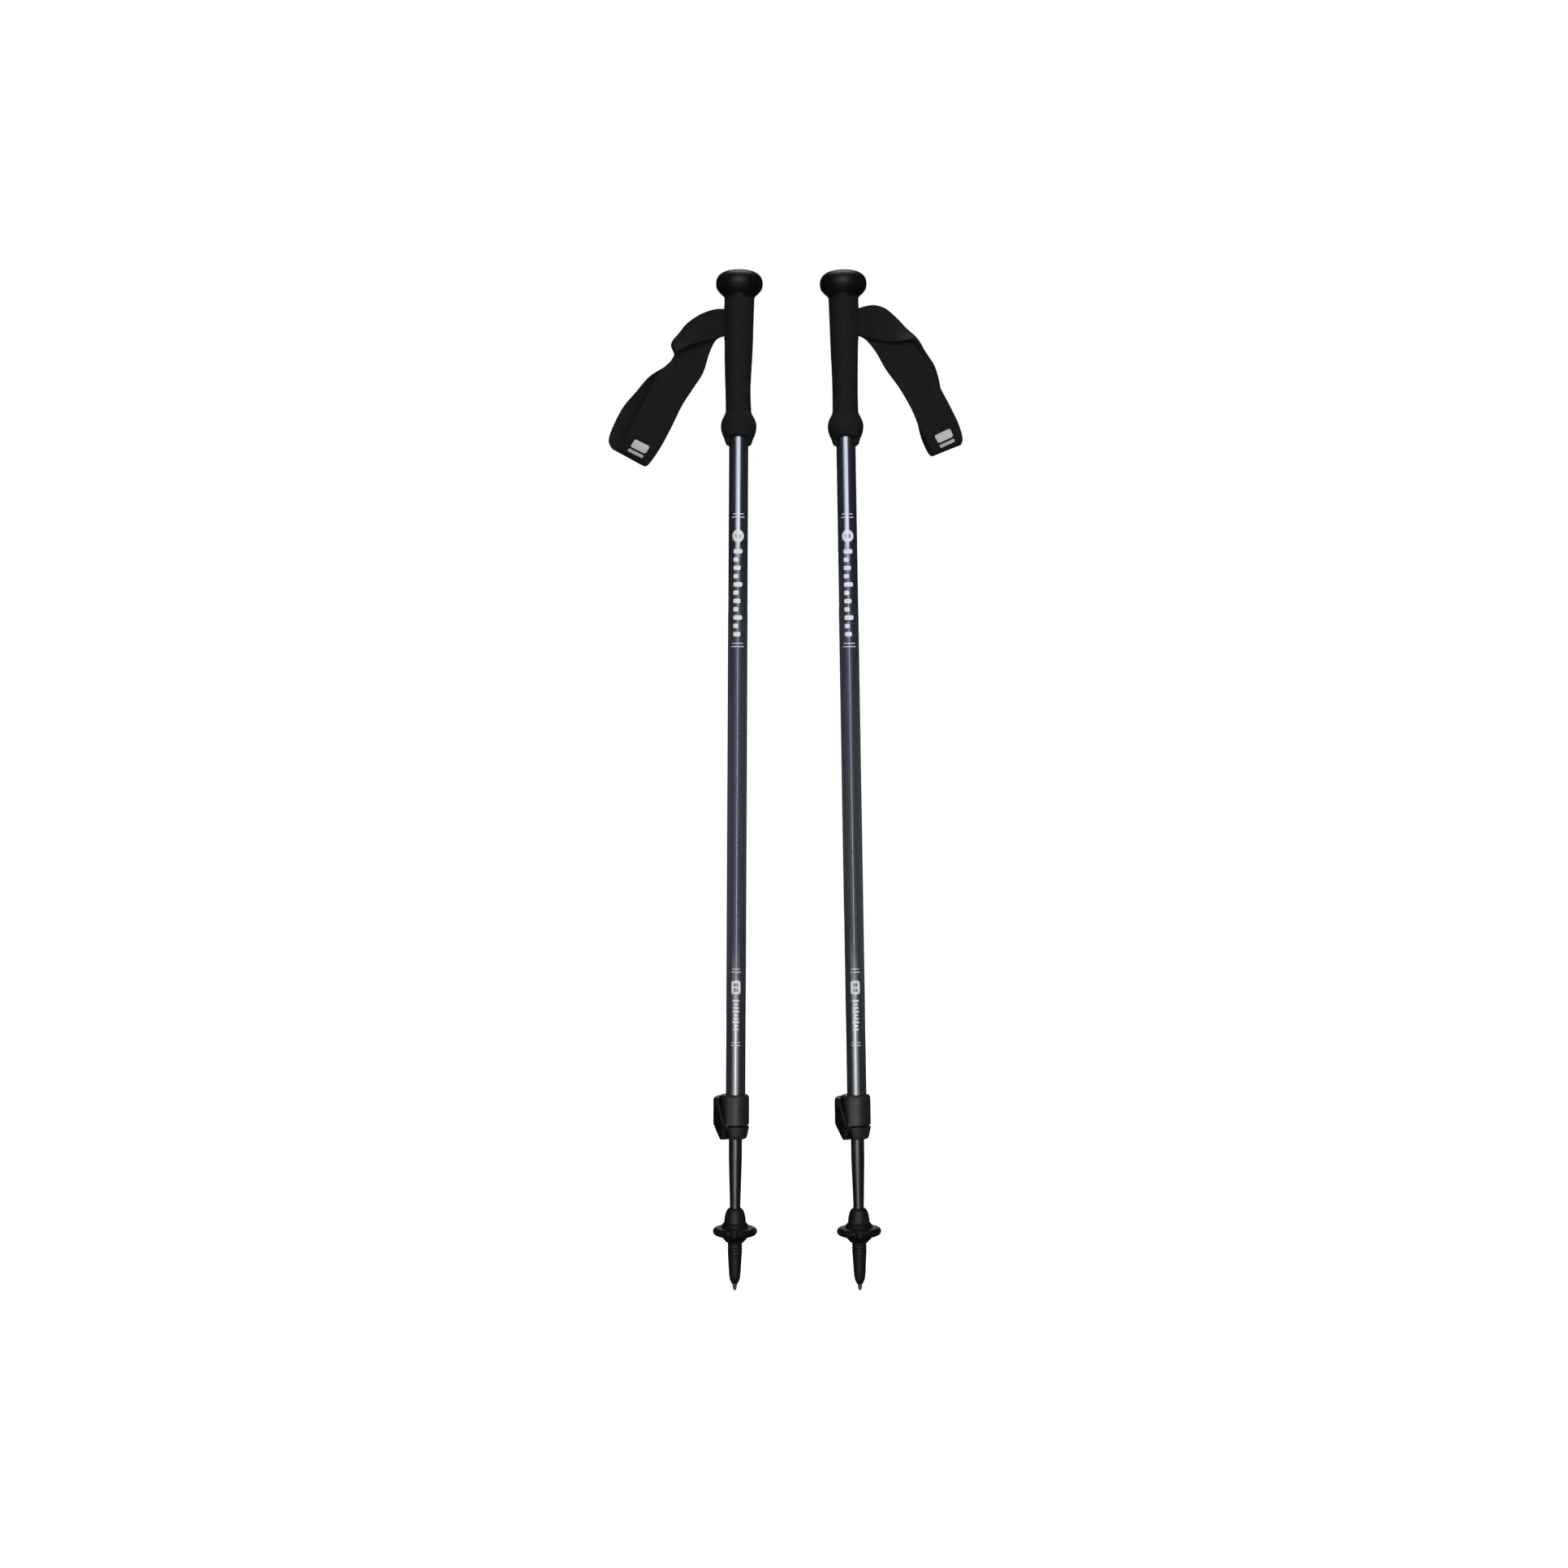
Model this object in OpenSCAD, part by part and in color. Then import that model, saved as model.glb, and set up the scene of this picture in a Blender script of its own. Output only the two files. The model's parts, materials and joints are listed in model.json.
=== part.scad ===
// A pair of two-section trekking poles with lever locks, foam grips and wrist straps.
// They stand side by side on their tips, fully collapsed. Each pole is modelled upright on its
// own axis with its tip at the origin, and then leaned and moved into the pair.

/* [Pair] */
// Distance between the two tips
tip_spacing = 123; // [100:1:200]
// Sideways lean of the left pole, in degrees
left_lean = 0.27; // [-1:0.01:1]
// Sideways lean of the right pole, in degrees
right_lean = -0.96; // [-1:0.01:1]

/* [Shafts] */
// Collapsed length of a pole, from the tip to the top of the knob
pole_length = 1000; // [960:1:1100]
// Outside diameter of the upper shaft
upper_d = 19.2; // [18.6:0.1:19.4]
// Outside diameter of the lower shaft
lower_d = 13.1; // [12.6:0.1:13.4]
// Outside diameter of the lower shaft's necked end, in the ferrule
neck_d = 10.5; // [10:0.1:10.8]
// Wall thickness of both shafts
wall = 1; // [0.8:0.1:1.2]
// Height where the neck starts to widen
neck_top_z = 83; // [82:1:90]
// Height where the lower shaft has its full diameter
taper_top_z = 129; // [115:1:140]

/* [Grip] */
// Diameter of the knob
knob_d = 46; // [42:1:50]
// Height of the knob
knob_h = 27; // [24:1:30]
// Length of the foam
foam_h = 147; // [140:1:160]
// Diameter of the foam under the knob
foam_top_d = 29.4; // [28:0.1:31]
// Diameter of the foam at its waist
foam_waist_d = 25.8; // [25:0.1:28]
// Diameter of the flared heel of the foam
foam_heel_d = 34.8; // [32:0.1:37]
// Radius of the arch cut into the heel
arch_r = 10.6; // [9.8:0.1:11.5]

/* [Strap] */
// Thickness of the webbing
webbing_t = 1.8; // [1.5:0.1:2]
// Height of the slot that the strap leaves by
slot_h = 27.6; // [27.2:0.1:28.5]
// Width of the slot at its mouth
slot_w = 6.8; // [6.6:0.1:7.4]

/* [Lock] */
// Height of the lock's lower edge
lock_z = 148.7; // [142:0.1:160]
// Height of the clamp ring
clamp_h = 12.3; // [11.5:0.1:13]
// Height of the slit over the clamp ring
slit_h = 1.5; // [1:0.1:2]
// Diameter of the lock's barrel
barrel_d = 26.8; // [26:0.1:27.4]
// Height of the whole lock
lock_h = 43.7; // [42:0.1:46]
// Thickness of the lever's handle at its middle
lever_t = 4.3; // [3:0.1:4.6]

/* [Tip] */
// Diameter of the basket
basket_d = 43.6; // [38:0.1:50]
// Number of scallops in the basket's rim
scallops = 6; // [4:1:8]
// Length of the carbide tip that stands out of the ferrule
carbide_h = 6.4; // [5:0.1:8]

/* [Hidden] */
POLES = ["left", "right"];
PIECES = [
    "lower_shaft", "tip_ferrule", "carbide_tip", "basket", "guide_plug", "upper_shaft",
    "shaft_bushing", "grip_core", "grip_foam", "grip_knob", "strap_pin", "strap_wedge", "strap",
    "lock_body", "lock_nut", "lock_screw", "lock_washer", "lock_lever"
];

$fn = 96;
eps = 0.01;
glue_gap = 0.03;      // radial gap of a bonded joint
run_gap = 0.05;       // radial gap of a running fit

upper_r = upper_d / 2;
upper_bore_r = upper_r - wall;
lower_r = lower_d / 2;
neck_r = neck_d / 2;

// Heights, from the bottom up
neck_bottom_z = 58;
ferrule_top_z = 80.5;
thread_z = 47;
collar_z = 66.4;
clamp_top_z = lock_z + clamp_h;
barrel_z = clamp_top_z + slit_h;
lock_top_z = lock_z + lock_h;
upper_bottom_z = barrel_z + 2.5;
knob_z = pole_length - knob_h;
foam_z = knob_z - foam_h;
core_z = knob_z - 43;
core_spigot_z = core_z - 25;
guide_h = 14;
lower_top_z = core_spigot_z - guide_h - 5;

// Strap slot and anchor, measured outwards from the pole's axis
slot_z = knob_z - 24;
core_r = 11.2;
pocket_w = 9.6;
pocket_x = -1.5;
mouth_x = 8.5;
pin_r = 1.5;

// Lever lock, with the lever on the -X side
pivot = [-11.6, -12.4];
pivot_r = 2;
nut_h = 8.7;
knuckle_r = 4.6;
upper_knuckle_r = 2;
screw_r = 1.5;
screw_z = lock_z + 5.9;
ear_front_y = -7.4;
ear_back_y = 7;
ear_x = -14.2;
bulge = [-3.2, 12.6];  // centre and radius of the barrel's swelling under the lever
lever_out = [-3.4, 18.5]; // centre and radius of the handle's outer face
lever_edge = [40, 56.4]; // centre and radius of the handle's curved front edge, in side view
lever_top_z = lock_top_z - 2.6;

// ---- Shared shapes ----

function blend_point(a, b, c, d, t) = 0.5 * (
    2 * b + (c - a) * t + (2 * a - 5 * b + 4 * c - d) * t * t + (3 * b - a - 3 * c + d) * t * t * t
);
// A smooth curve through the points of p, with n steps between two points
function curve(p, n) = [
    for (i = [0 : len(p) - 2]) for (k = [0 : n - 1])
        blend_point(p[max(i - 1, 0)], p[i], p[i + 1], p[min(i + 2, len(p) - 1)], k / n),
    p[len(p) - 1]
];
// Points along an arc from angle a to angle b
function arc(x, y, r, a, b, n = 8) = [
    for (i = [0 : n]) let (t = a + (b - a) * i / n) [x + r * cos(t), y + r * sin(t)]
];

// Leans and moves a pole's piece to its place in the pair
module placed(pole) {
    translate([pole == "left" ? 0 : tip_spacing, 0, 0])
        rotate([0, pole == "left" ? left_lean : right_lean, 0]) children();
}
// Turns a piece drawn for a strap on +X to the side of its pole's strap
module strap_side(pole) {
    rotate([0, 0, pole == "left" ? 180 : 0]) children();
}
module rod(r, z0, z1) {
    translate([0, 0, z0]) cylinder(r = r, h = z1 - z0);
}
module tube(r, bore_r, z0, z1) {
    difference() {
        rod(r, z0, z1);
        rod(bore_r, z0 - 1, z1 + 1);
    }
}
module block(x0, x1, y0, y1, z0, z1) {
    translate([x0, y0, z0]) cube([x1 - x0, y1 - y0, z1 - z0]);
}
// A rod along Y
module cross_rod(x, z, r, y0, y1) {
    translate([x, y0, z]) rotate([-90, 0, 0]) cylinder(r = r, h = y1 - y0);
}

// ---- Lower section ----

module lower_shaft() {
    color("#2b2c2e") rotate_extrude() polygon([
        [neck_r - wall, neck_bottom_z],
        [neck_r, neck_bottom_z],
        [neck_r, neck_top_z],
        [lower_r, taper_top_z],
        [lower_r, lower_top_z],
        [lower_r - wall, lower_top_z],
        [lower_r - wall, taper_top_z],
        [neck_r - wall, neck_top_z]
    ]);
}

module guide_plug() {
    spigot_r = lower_r - wall - run_gap;
    head_z = lower_top_z + 0.1;
    color("#8c8c88") union() {
        rod(spigot_r, lower_top_z - 20, head_z + 1);
        rod(upper_bore_r - run_gap, head_z, head_z + guide_h - 2);
        translate([0, 0, head_z + guide_h - 2 - eps])
            cylinder(r1 = upper_bore_r - run_gap, r2 = upper_bore_r - 1.5, h = 2);
    }
}

module tip_ferrule() {
    stem_r = 1.85 + glue_gap;
    thread = [for (i = [0 : 2]) let (z = 38 + 3 * i) each [[6.9, z], [7.35, z + 0.8], [6.9, z + 1.6]]];
    // The collar swells over the basket and closes on the neck of the shaft
    collar = curve([
        [10.7, collar_z], [10.4, 70], [9.6, 74], [8.2, 77.6], [6.6, 79.5],
        [neck_r + glue_gap, ferrule_top_z]
    ], 3);
    color("#26272a") rotate_extrude() polygon(concat(
        [[stem_r, carbide_h], [3.1, carbide_h], [5.3, 11], [6, 15], [6, 28], [6.7, 33]],
        thread,
        [[7.4, thread_z], [7.4, collar_z - 0.2]],
        collar,
        [
            [neck_r + glue_gap, neck_bottom_z - 0.5],
            [0, neck_bottom_z - 0.5],
            [0, 18.5],
            [stem_r, 18.5]
        ]
    ));
}

module carbide_tip() {
    color("#8f8a84") rotate_extrude() polygon([
        [0, 0.8], [1.1, 0], [1.5, 0], [2.6, carbide_h - eps], [1.85, carbide_h - eps], [1.85, 18], [0, 18]
    ]);
}

module basket() {
    rim_r = 3.9;
    rim_x = basket_d / 2 - rim_r;
    rim_z = 57.7;
    color("#242527") difference() {
        rotate_extrude() polygon(concat(
            [[7.4 + glue_gap, thread_z], [8.6, thread_z], [13.4, 52.4]],
            arc(rim_x, rim_z, rim_r, -90, 90, 12),
            [[13.4, 61.4], [12.8, 62.4], [12.8, 64.2], [11.3, 66.1], [7.4 + glue_gap, 66.1]]
        ));
        for (i = [0 : scallops - 1]) rotate([0, 0, (i + 0.5) * 360 / scallops])
            translate([basket_d / 2 + 1.8, 0, 50]) cylinder(r = 4.6, h = 20);
    }
}

// ---- Upper section ----

module upper_shaft() {
    color("#1f2634") tube(upper_r, upper_bore_r, upper_bottom_z, core_z);
}

module shaft_bushing() {
    color("#8c8c88")
        tube(upper_bore_r - glue_gap, lower_r + run_gap, upper_bottom_z + 0.2, upper_bottom_z + 25);
}

module grip_core() {
    color("#333335") difference() {
        union() {
            rod(upper_bore_r - glue_gap, core_spigot_z, core_z + 1);
            rod(core_r, core_z + 0.1, knob_z - 0.1);
        }
        rod(6 + glue_gap, knob_z - 7, knob_z + 1);
        block(pocket_x, mouth_x, -pocket_w / 2, pocket_w / 2, slot_z - slot_h / 2, slot_z + slot_h / 2);
        block(mouth_x - 1, 20, -slot_w / 2, slot_w / 2, slot_z - slot_h / 2, slot_z + slot_h / 2);
        rod(pin_r, slot_z - slot_h / 2 - 2, slot_z + slot_h / 2 + 2);
    }
}

module grip_foam() {
    top_r = foam_top_d / 2;
    waist_r = foam_waist_d / 2;
    heel_r = foam_heel_d / 2;
    outline = curve([
        [10.2, foam_z], [12.8, foam_z + 2.5], [15.9, foam_z + 12], [heel_r, foam_z + 20.5],
        [heel_r - 1.3, foam_z + 26.5], [waist_r + 1.4, foam_z + 31.5], [waist_r + 0.3, foam_z + 38],
        [waist_r, foam_z + 52], [waist_r + 0.6, foam_z + 76], [top_r - 0.3, foam_z + 106],
        [top_r, knob_z - 0.1]
    ], 4);
    bore = upper_r + glue_gap;
    color("#2a2828") difference() {
        rotate_extrude() polygon(concat(outline, [
            [core_r + glue_gap, knob_z - 0.1], [core_r + glue_gap, core_z], [bore, core_z], [bore, foam_z]
        ]));
        cross_rod(0, foam_z, arch_r, -30, 30);
        block(5, 20, -slot_w / 2, slot_w / 2, slot_z - slot_h / 2, slot_z + slot_h / 2);
    }
}

module grip_knob() {
    knob_r = knob_d / 2;
    rim_r = 9.6;
    color("#222224") union() {
        rotate_extrude() polygon(concat(
            [[0, knob_z], [foam_top_d / 2 + 0.2, knob_z], [foam_top_d / 2 + 0.5, knob_z + 0.6]],
            arc(knob_r - rim_r, pole_length - 12.4, rim_r, -48, 68, 16),
            arc(0, pole_length - 62, 62, 74.5, 90, 6)
        ));
        rod(6, knob_z - 6.5, knob_z + 1);
    }
}

module strap_pin() {
    color("#b0b0b2") rod(pin_r - eps, slot_z - slot_h / 2 - 1.9, slot_z + slot_h / 2 + 1.9);
}

module strap_wedge() {
    half_h = slot_h / 2 - 0.6;
    thick_end = 1.9; // half thickness inside the pocket
    thin_end = 0.7;  // half thickness in the slot's mouth
    color("#333335") translate([0, 0, slot_z - half_h]) linear_extrude(2 * half_h) polygon([
        [3.5, -thick_end], [4.5, -thick_end], [9.5, -thin_end], [12.5, -thin_end],
        [12.5, thin_end], [9.5, thin_end], [4.5, thick_end], [3.5, thick_end]
    ]);
}

// Stations of each strap's loop: the middle of the webbing, out from the pole's axis, across and up,
// and then half its width as a vector, out and up. The first strand runs in front, and the loop
// turns at its lower end and comes back behind.
LEFT_LOOP = [
    [2.5, -3.1, 949, 0, 13.2], [6, -2.7, 949, 0, 13.2], [10, -2, 949, 0, 13.2], [16, -2, 948.6, 0.5, 13.2],
    [24, -3, 943.5, 3.5, 13], [36, -6, 929, 9.5, 12], [50, -8, 908, 13.5, 9.5], [64, -9, 884, 14.6, 7.4],
    [78, -8.5, 860, 14.8, 7.4], [91, -6.5, 833, 14.6, 7.6], [100, -3, 818, 14.5, 7.8],
    [105, 1, 815, 14.8, 8.2], [108, 5, 820, 15, 7], [109, 8, 834, 15.6, 5.4], [102, 9.5, 852, 14, 9],
    [88, 9, 873, 12.2, 11.2], [72, 8, 895, 11, 12.4], [58, 6, 917, 9.5, 13], [44, 4.5, 935, 6, 13],
    [30, 3, 944.5, 3, 13.2], [16, 2, 948.6, 0.5, 13.2], [10, 2, 949, 0, 13.2], [6, 2.7, 949, 0, 13.2],
    [2.5, 3.1, 949, 0, 13.2]
];
RIGHT_LOOP = [
    [2.5, -3.1, 949, 0, 13.2], [6, -2.7, 949, 0, 13.2], [10, -2, 949, 0, 13.2], [16, -2, 949, 0, 13.2],
    [26, -3, 944, 4, 13], [38, -6, 930, 10, 12], [52, -8, 909, 14, 9.5], [68, -9, 886, 14.4, 8.8],
    [82, -8.5, 862, 14.8, 8], [92, -6.5, 842, 15.4, 6], [97, -3, 827, 15.8, 4.8],
    [98, 1, 823, 15.8, 4.6], [97, 5, 827, 15.8, 5], [92, 8, 842, 15.6, 6], [82, 9.5, 862, 14.8, 8],
    [72, 9, 884, 13.4, 10], [64, 8, 906, 12.6, 10.6], [56, 6, 925, 10.5, 12], [44, 4.5, 940, 6.5, 13],
    [30, 3, 948, 2, 13.2], [16, 2, 949, 0, 13.2], [10, 2, 949, 0, 13.2], [6, 2.7, 949, 0, 13.2],
    [2.5, 3.1, 949, 0, 13.2]
];

function unit(v) = v / norm(v);
function middle(s) = [s[0], s[1], s[2] + pole_length - 1000];
// The four corners of the webbing's section at station i
function section(loop, i) =
    let (
        c = middle(loop[i]),
        along = middle(loop[min(i + 1, len(loop) - 1)]) - middle(loop[max(i - 1, 0)]),
        across = [loop[i][3], 0, loop[i][4]],
        off = unit(cross(along, across)) * webbing_t / 2
    )
    [c + across + off, c - across + off, c - across - off, c + across - off];

module strap(pole) {
    loop = pole == "left" ? LEFT_LOOP : RIGHT_LOOP;
    n = len(loop);
    points = [for (i = [0 : n - 1]) each section(loop, i)];
    sides = [
        for (i = [0 : n - 2]) for (k = [0 : 3])
            let (a = 4 * i + k, b = 4 * i + (k + 1) % 4)
            each [[a, b, b + 4], [a, b + 4, a + 4]]
    ];
    last = 4 * (n - 1);
    ends = [[0, 2, 1], [0, 3, 2], [last, last + 1, last + 2], [last, last + 2, last + 3]];
    color("#2c2b2b") mirror([pole == "left" ? 1 : 0, 0, 0]) polyhedron(points, concat(sides, ends));
}

// ---- Lever lock ----

// A turned barrel with a rounded top shoulder
module barrel(r) {
    rotate_extrude() polygon(concat(
        [[0, barrel_z], [r - 0.5, barrel_z], [r, barrel_z + 0.5]],
        arc(r - 4, lock_top_z - 4, 4, 0, 72, 6),
        [[0, lock_top_z - 0.2]]
    ));
}
module clamp_ring() {
    ring_r = barrel_d / 2 + 0.1;
    rotate_extrude() polygon(concat(
        [[0, lock_z]],
        arc(ring_r - 4.2, lock_z + 2, 2, -90, -35, 4),
        [[ring_r, lock_z + 8], [ring_r, clamp_top_z - 0.5], [ring_r - 0.5, clamp_top_z], [0, clamp_top_z]]
    ));
}

module lock_body() {
    low = lock_z - 1;
    color("#3a3836") difference() {
        union() {
            clamp_ring();
            block(ear_x, 0, ear_front_y, ear_back_y, lock_z + 0.3, clamp_top_z - 0.2);
            barrel(barrel_d / 2);
            translate([bulge[0], 0, 0]) barrel(bulge[1]);
            intersection() {
                rod(barrel_d / 2 - 0.5, clamp_top_z - 1, barrel_z + 1);
                block(-5, 9, 7.2, 20, clamp_top_z - 1, barrel_z + 1);
            }
        }
        rod(lower_r + run_gap, low, lock_top_z + 1);
        rod(upper_r + glue_gap, upper_bottom_z - 0.1, lock_top_z + 1);
        block(-30, 0, -0.8, 0.8, low, barrel_z - slit_h / 2);
        block(-30, -6.6, -30, ear_front_y, low, clamp_top_z + 0.1);
        block(-30, -6.6, ear_back_y, 30, low, clamp_top_z + 0.1);
        cross_rod(pivot[0], screw_z, screw_r + 0.1, -30, 30);
    }
}

module lock_nut() {
    color("#9a9a9c") difference() {
        translate([pivot[0], pivot[1], 0]) rod(pivot_r, lock_z + 1.4, lock_z + 1.4 + nut_h);
        cross_rod(pivot[0], screw_z, screw_r, pivot[1] - 1, pivot[1] + 5);
    }
}

module lock_screw() {
    head_y = ear_back_y + 0.9;
    color("#b0b0b2") difference() {
        union() {
            cross_rod(pivot[0], screw_z, screw_r - eps, pivot[1] - 0.9, head_y + 1);
            cross_rod(pivot[0], screw_z, 2.8, head_y, head_y + 2.2);
        }
        translate([pivot[0], head_y + 1, screw_z]) rotate([-90, 0, 0]) cylinder(r = 1.5, h = 5, $fn = 6);
    }
}

module lock_washer() {
    color("#b0b0b2") difference() {
        cross_rod(pivot[0], screw_z, 3.3, ear_back_y + 0.05, ear_back_y + 0.85);
        cross_rod(pivot[0], screw_z, screw_r + 0.1, 0, 20);
    }
}

module lock_lever() {
    inner_r = lever_out[1] - lever_t;
    inner_x = lever_out[0] - lever_out[1] + lever_t + inner_r + 0.8;
    slot_z0 = screw_z - 1.9;
    color("#3a3836") difference() {
        union() {
            difference() {
                translate([lever_out[0], 0, 0]) rod(lever_out[1], lock_z + 1.4, lever_top_z);
                translate([inner_x, 0, 0]) rod(inner_r, lock_z, lever_top_z + 1);
                // The handle's two ends
                translate([0, 0, lock_z]) linear_extrude(lock_h + 6) polygon([
                    [-12.3, 0], [-12.3, -12], [-15.6, -16], [-15.6, -30], [30, -30],
                    [30, 30], [-30, 30], [-30, 14], [-15, 6.4], [-12.3, 5]
                ]);
            }
            translate([pivot[0], pivot[1], 0]) {
                rod(knuckle_r, lock_z + 1.2, clamp_top_z - 0.4);
                rod(upper_knuckle_r, clamp_top_z - 1, lever_top_z);
            }
            // The neck from the knuckle to the handle
            translate([0, 0, lock_z + 1.4]) linear_extrude(lever_top_z - lock_z - 1.4) polygon([
                [-15.2, -8.2], [-18.5, -10.4], [pivot[0] - 1.2, pivot[1] - 1.6], [pivot[0], pivot[1] + 1.6]
            ]);
        }
        translate([pivot[0], pivot[1], 0]) rod(pivot_r + run_gap, lock_z, lock_z + nut_h + 1.9);
        // The slot that clears the screw as the lever swings
        translate([pivot[0], pivot[1], slot_z0]) linear_extrude(3.8)
            polygon([[-1.9, -2], [-1.9, 8], [8, 8], [8, -2.8]]);
        // The curved front edge and the slope of the lower outer corner
        cross_rod(lever_edge[0], lock_z + 43, lever_edge[1], -40, 40);
        translate([-15.1, 0, lock_z + 1.8]) rotate([0, -27, 0]) block(-20, 0, -40, 40, -20, 20);
    }
}

// ---- The pair ----

for (pole = POLES) {
    placed(pole) lower_shaft();
    placed(pole) tip_ferrule();
    placed(pole) carbide_tip();
    placed(pole) basket();
    placed(pole) guide_plug();
    placed(pole) upper_shaft();
    placed(pole) shaft_bushing();
    placed(pole) strap_side(pole) grip_core();
    placed(pole) strap_side(pole) grip_foam();
    placed(pole) grip_knob();
    placed(pole) strap_side(pole) strap_pin();
    placed(pole) strap_side(pole) strap_wedge();
    placed(pole) strap(pole);
    placed(pole) lock_body();
    placed(pole) lock_nut();
    placed(pole) lock_screw();
    placed(pole) lock_washer();
    placed(pole) lock_lever();
}
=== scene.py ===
import json
import math

import bmesh
import bpy
from mathutils import Matrix, Vector
from mathutils.noise import noise


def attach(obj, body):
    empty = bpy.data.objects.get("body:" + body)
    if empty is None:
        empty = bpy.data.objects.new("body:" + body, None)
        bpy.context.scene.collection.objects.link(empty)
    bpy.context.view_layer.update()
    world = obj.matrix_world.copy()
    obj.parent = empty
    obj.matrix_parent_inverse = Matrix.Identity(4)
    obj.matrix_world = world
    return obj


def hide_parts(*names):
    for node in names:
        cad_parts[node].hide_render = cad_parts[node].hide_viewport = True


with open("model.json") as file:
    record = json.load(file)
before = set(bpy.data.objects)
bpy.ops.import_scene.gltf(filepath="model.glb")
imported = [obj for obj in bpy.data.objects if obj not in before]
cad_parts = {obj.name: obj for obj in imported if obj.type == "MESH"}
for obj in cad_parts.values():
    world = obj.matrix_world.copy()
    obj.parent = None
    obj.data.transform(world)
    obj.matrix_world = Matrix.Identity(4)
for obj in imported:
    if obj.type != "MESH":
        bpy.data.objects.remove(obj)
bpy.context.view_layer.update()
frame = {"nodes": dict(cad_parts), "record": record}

nodes = frame["nodes"]
record = frame["record"]
MM = 0.001
POLES = ("left", "right")
SIDE = {"left": -1, "right": 1}  # the way that each strap leaves its pole, along X


def pole_matrix(pole):
    """The pole's own upright frame: the origin at its tip, Z up its axis."""
    tip = next(m for m in record["mounts"] if m["name"] == pole + "_tip")["pos_m"]
    joint = next(j for j in record["behaviour"]["joints"] if j["name"] == pole + "_twist")
    up = Vector(joint["axis"]).normalized()
    across = Vector((0, 1, 0)).cross(up)
    m = Matrix((across, (0, 1, 0), up)).transposed().to_4x4()
    m.translation = Vector(tip)
    return m


FRAME = {p: pole_matrix(p) for p in POLES}

# ---------------------------------------------------------------- mesh helpers


def make_object(name, points, faces, pole, material, smooth=None, uvs=None):
    """A mesh piece from points in millimetres in the pole's frame."""
    m = FRAME[pole]
    mesh = bpy.data.meshes.new(name)
    mesh.from_pydata([m @ (Vector(p) * MM) for p in points], [], faces)
    mesh.validate()
    if uvs:
        layer = mesh.uv_layers.new(name="weave")
        for loop in mesh.loops:
            layer.data[loop.index].uv = uvs[loop.vertex_index]
    obj = bpy.data.objects.new(name, mesh)
    bpy.context.scene.collection.objects.link(obj)
    finish_mesh(obj, material, smooth)
    return obj


def finish_mesh(obj, material, smooth=None):
    mesh = obj.data
    mesh.materials.clear()
    mesh.materials.append(material)
    mesh.polygons.foreach_set("use_smooth", [True] * len(mesh.polygons))
    if smooth is not None:
        mesh.set_sharp_from_angle(angle=math.radians(smooth))


def hermite(points, knots, t):
    """A smooth curve through vectors at unevenly spaced knots."""
    n = len(points)
    i = max(k for k in range(n - 1) if knots[k] <= t or k == 0)
    h = knots[i + 1] - knots[i]

    def slope(k):
        a, b = max(k - 1, 0), min(k + 1, n - 1)
        return (points[b] - points[a]) / (knots[b] - knots[a])

    f = (t - knots[i]) / h
    f2, f3 = f * f, f * f * f
    return (
        points[i] * (2 * f3 - 3 * f2 + 1)
        + slope(i) * h * (f3 - 2 * f2 + f)
        + points[i + 1] * (3 * f2 - 2 * f3)
        + slope(i + 1) * h * (f3 - f2)
    )


def smooth_profile(points, step):
    """Points (r, z) every step or so along a smooth curve through the given ones."""
    pts = [Vector(p) for p in points]
    knots = [0.0]
    for a, b in zip(pts, pts[1:]):
        knots.append(knots[-1] + (b - a).length)
    n = max(2, int(knots[-1] / step))
    return [hermite(pts, knots, knots[-1] * k / n) for k in range(n + 1)]


def lathe(name, pole, profile, material, turns=128, radius=None, smooth=50):
    """Turns the profile, a list of (r, z) going from one end on the axis or at a bore to the other.
    radius(r, z, angle), if given, says how far out each point really is."""
    points, faces = [], []
    for r, z in profile:
        for k in range(turns):
            a = 2 * math.pi * k / turns
            q = radius(r, z, a) if radius else r
            points.append((q * math.cos(a), q * math.sin(a), z))
    rows = len(profile)
    for i in range(rows - 1):
        for k in range(turns):
            j = (k + 1) % turns
            faces.append((i * turns + k, i * turns + j, (i + 1) * turns + j, (i + 1) * turns + k))
    obj = make_object(name, points, faces, pole, material, smooth)
    weld(obj)
    return obj


def weld(obj, distance=1e-6):
    bm = bmesh.new()
    bm.from_mesh(obj.data)
    bmesh.ops.remove_doubles(bm, verts=bm.verts, dist=distance)
    bmesh.ops.recalc_face_normals(bm, faces=bm.faces)
    bm.to_mesh(obj.data)
    bm.free()


def turn_outward(obj):
    bm = bmesh.new()
    bm.from_mesh(obj.data)
    bmesh.ops.recalc_face_normals(bm, faces=bm.faces)
    bm.to_mesh(obj.data)
    bm.free()


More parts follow.
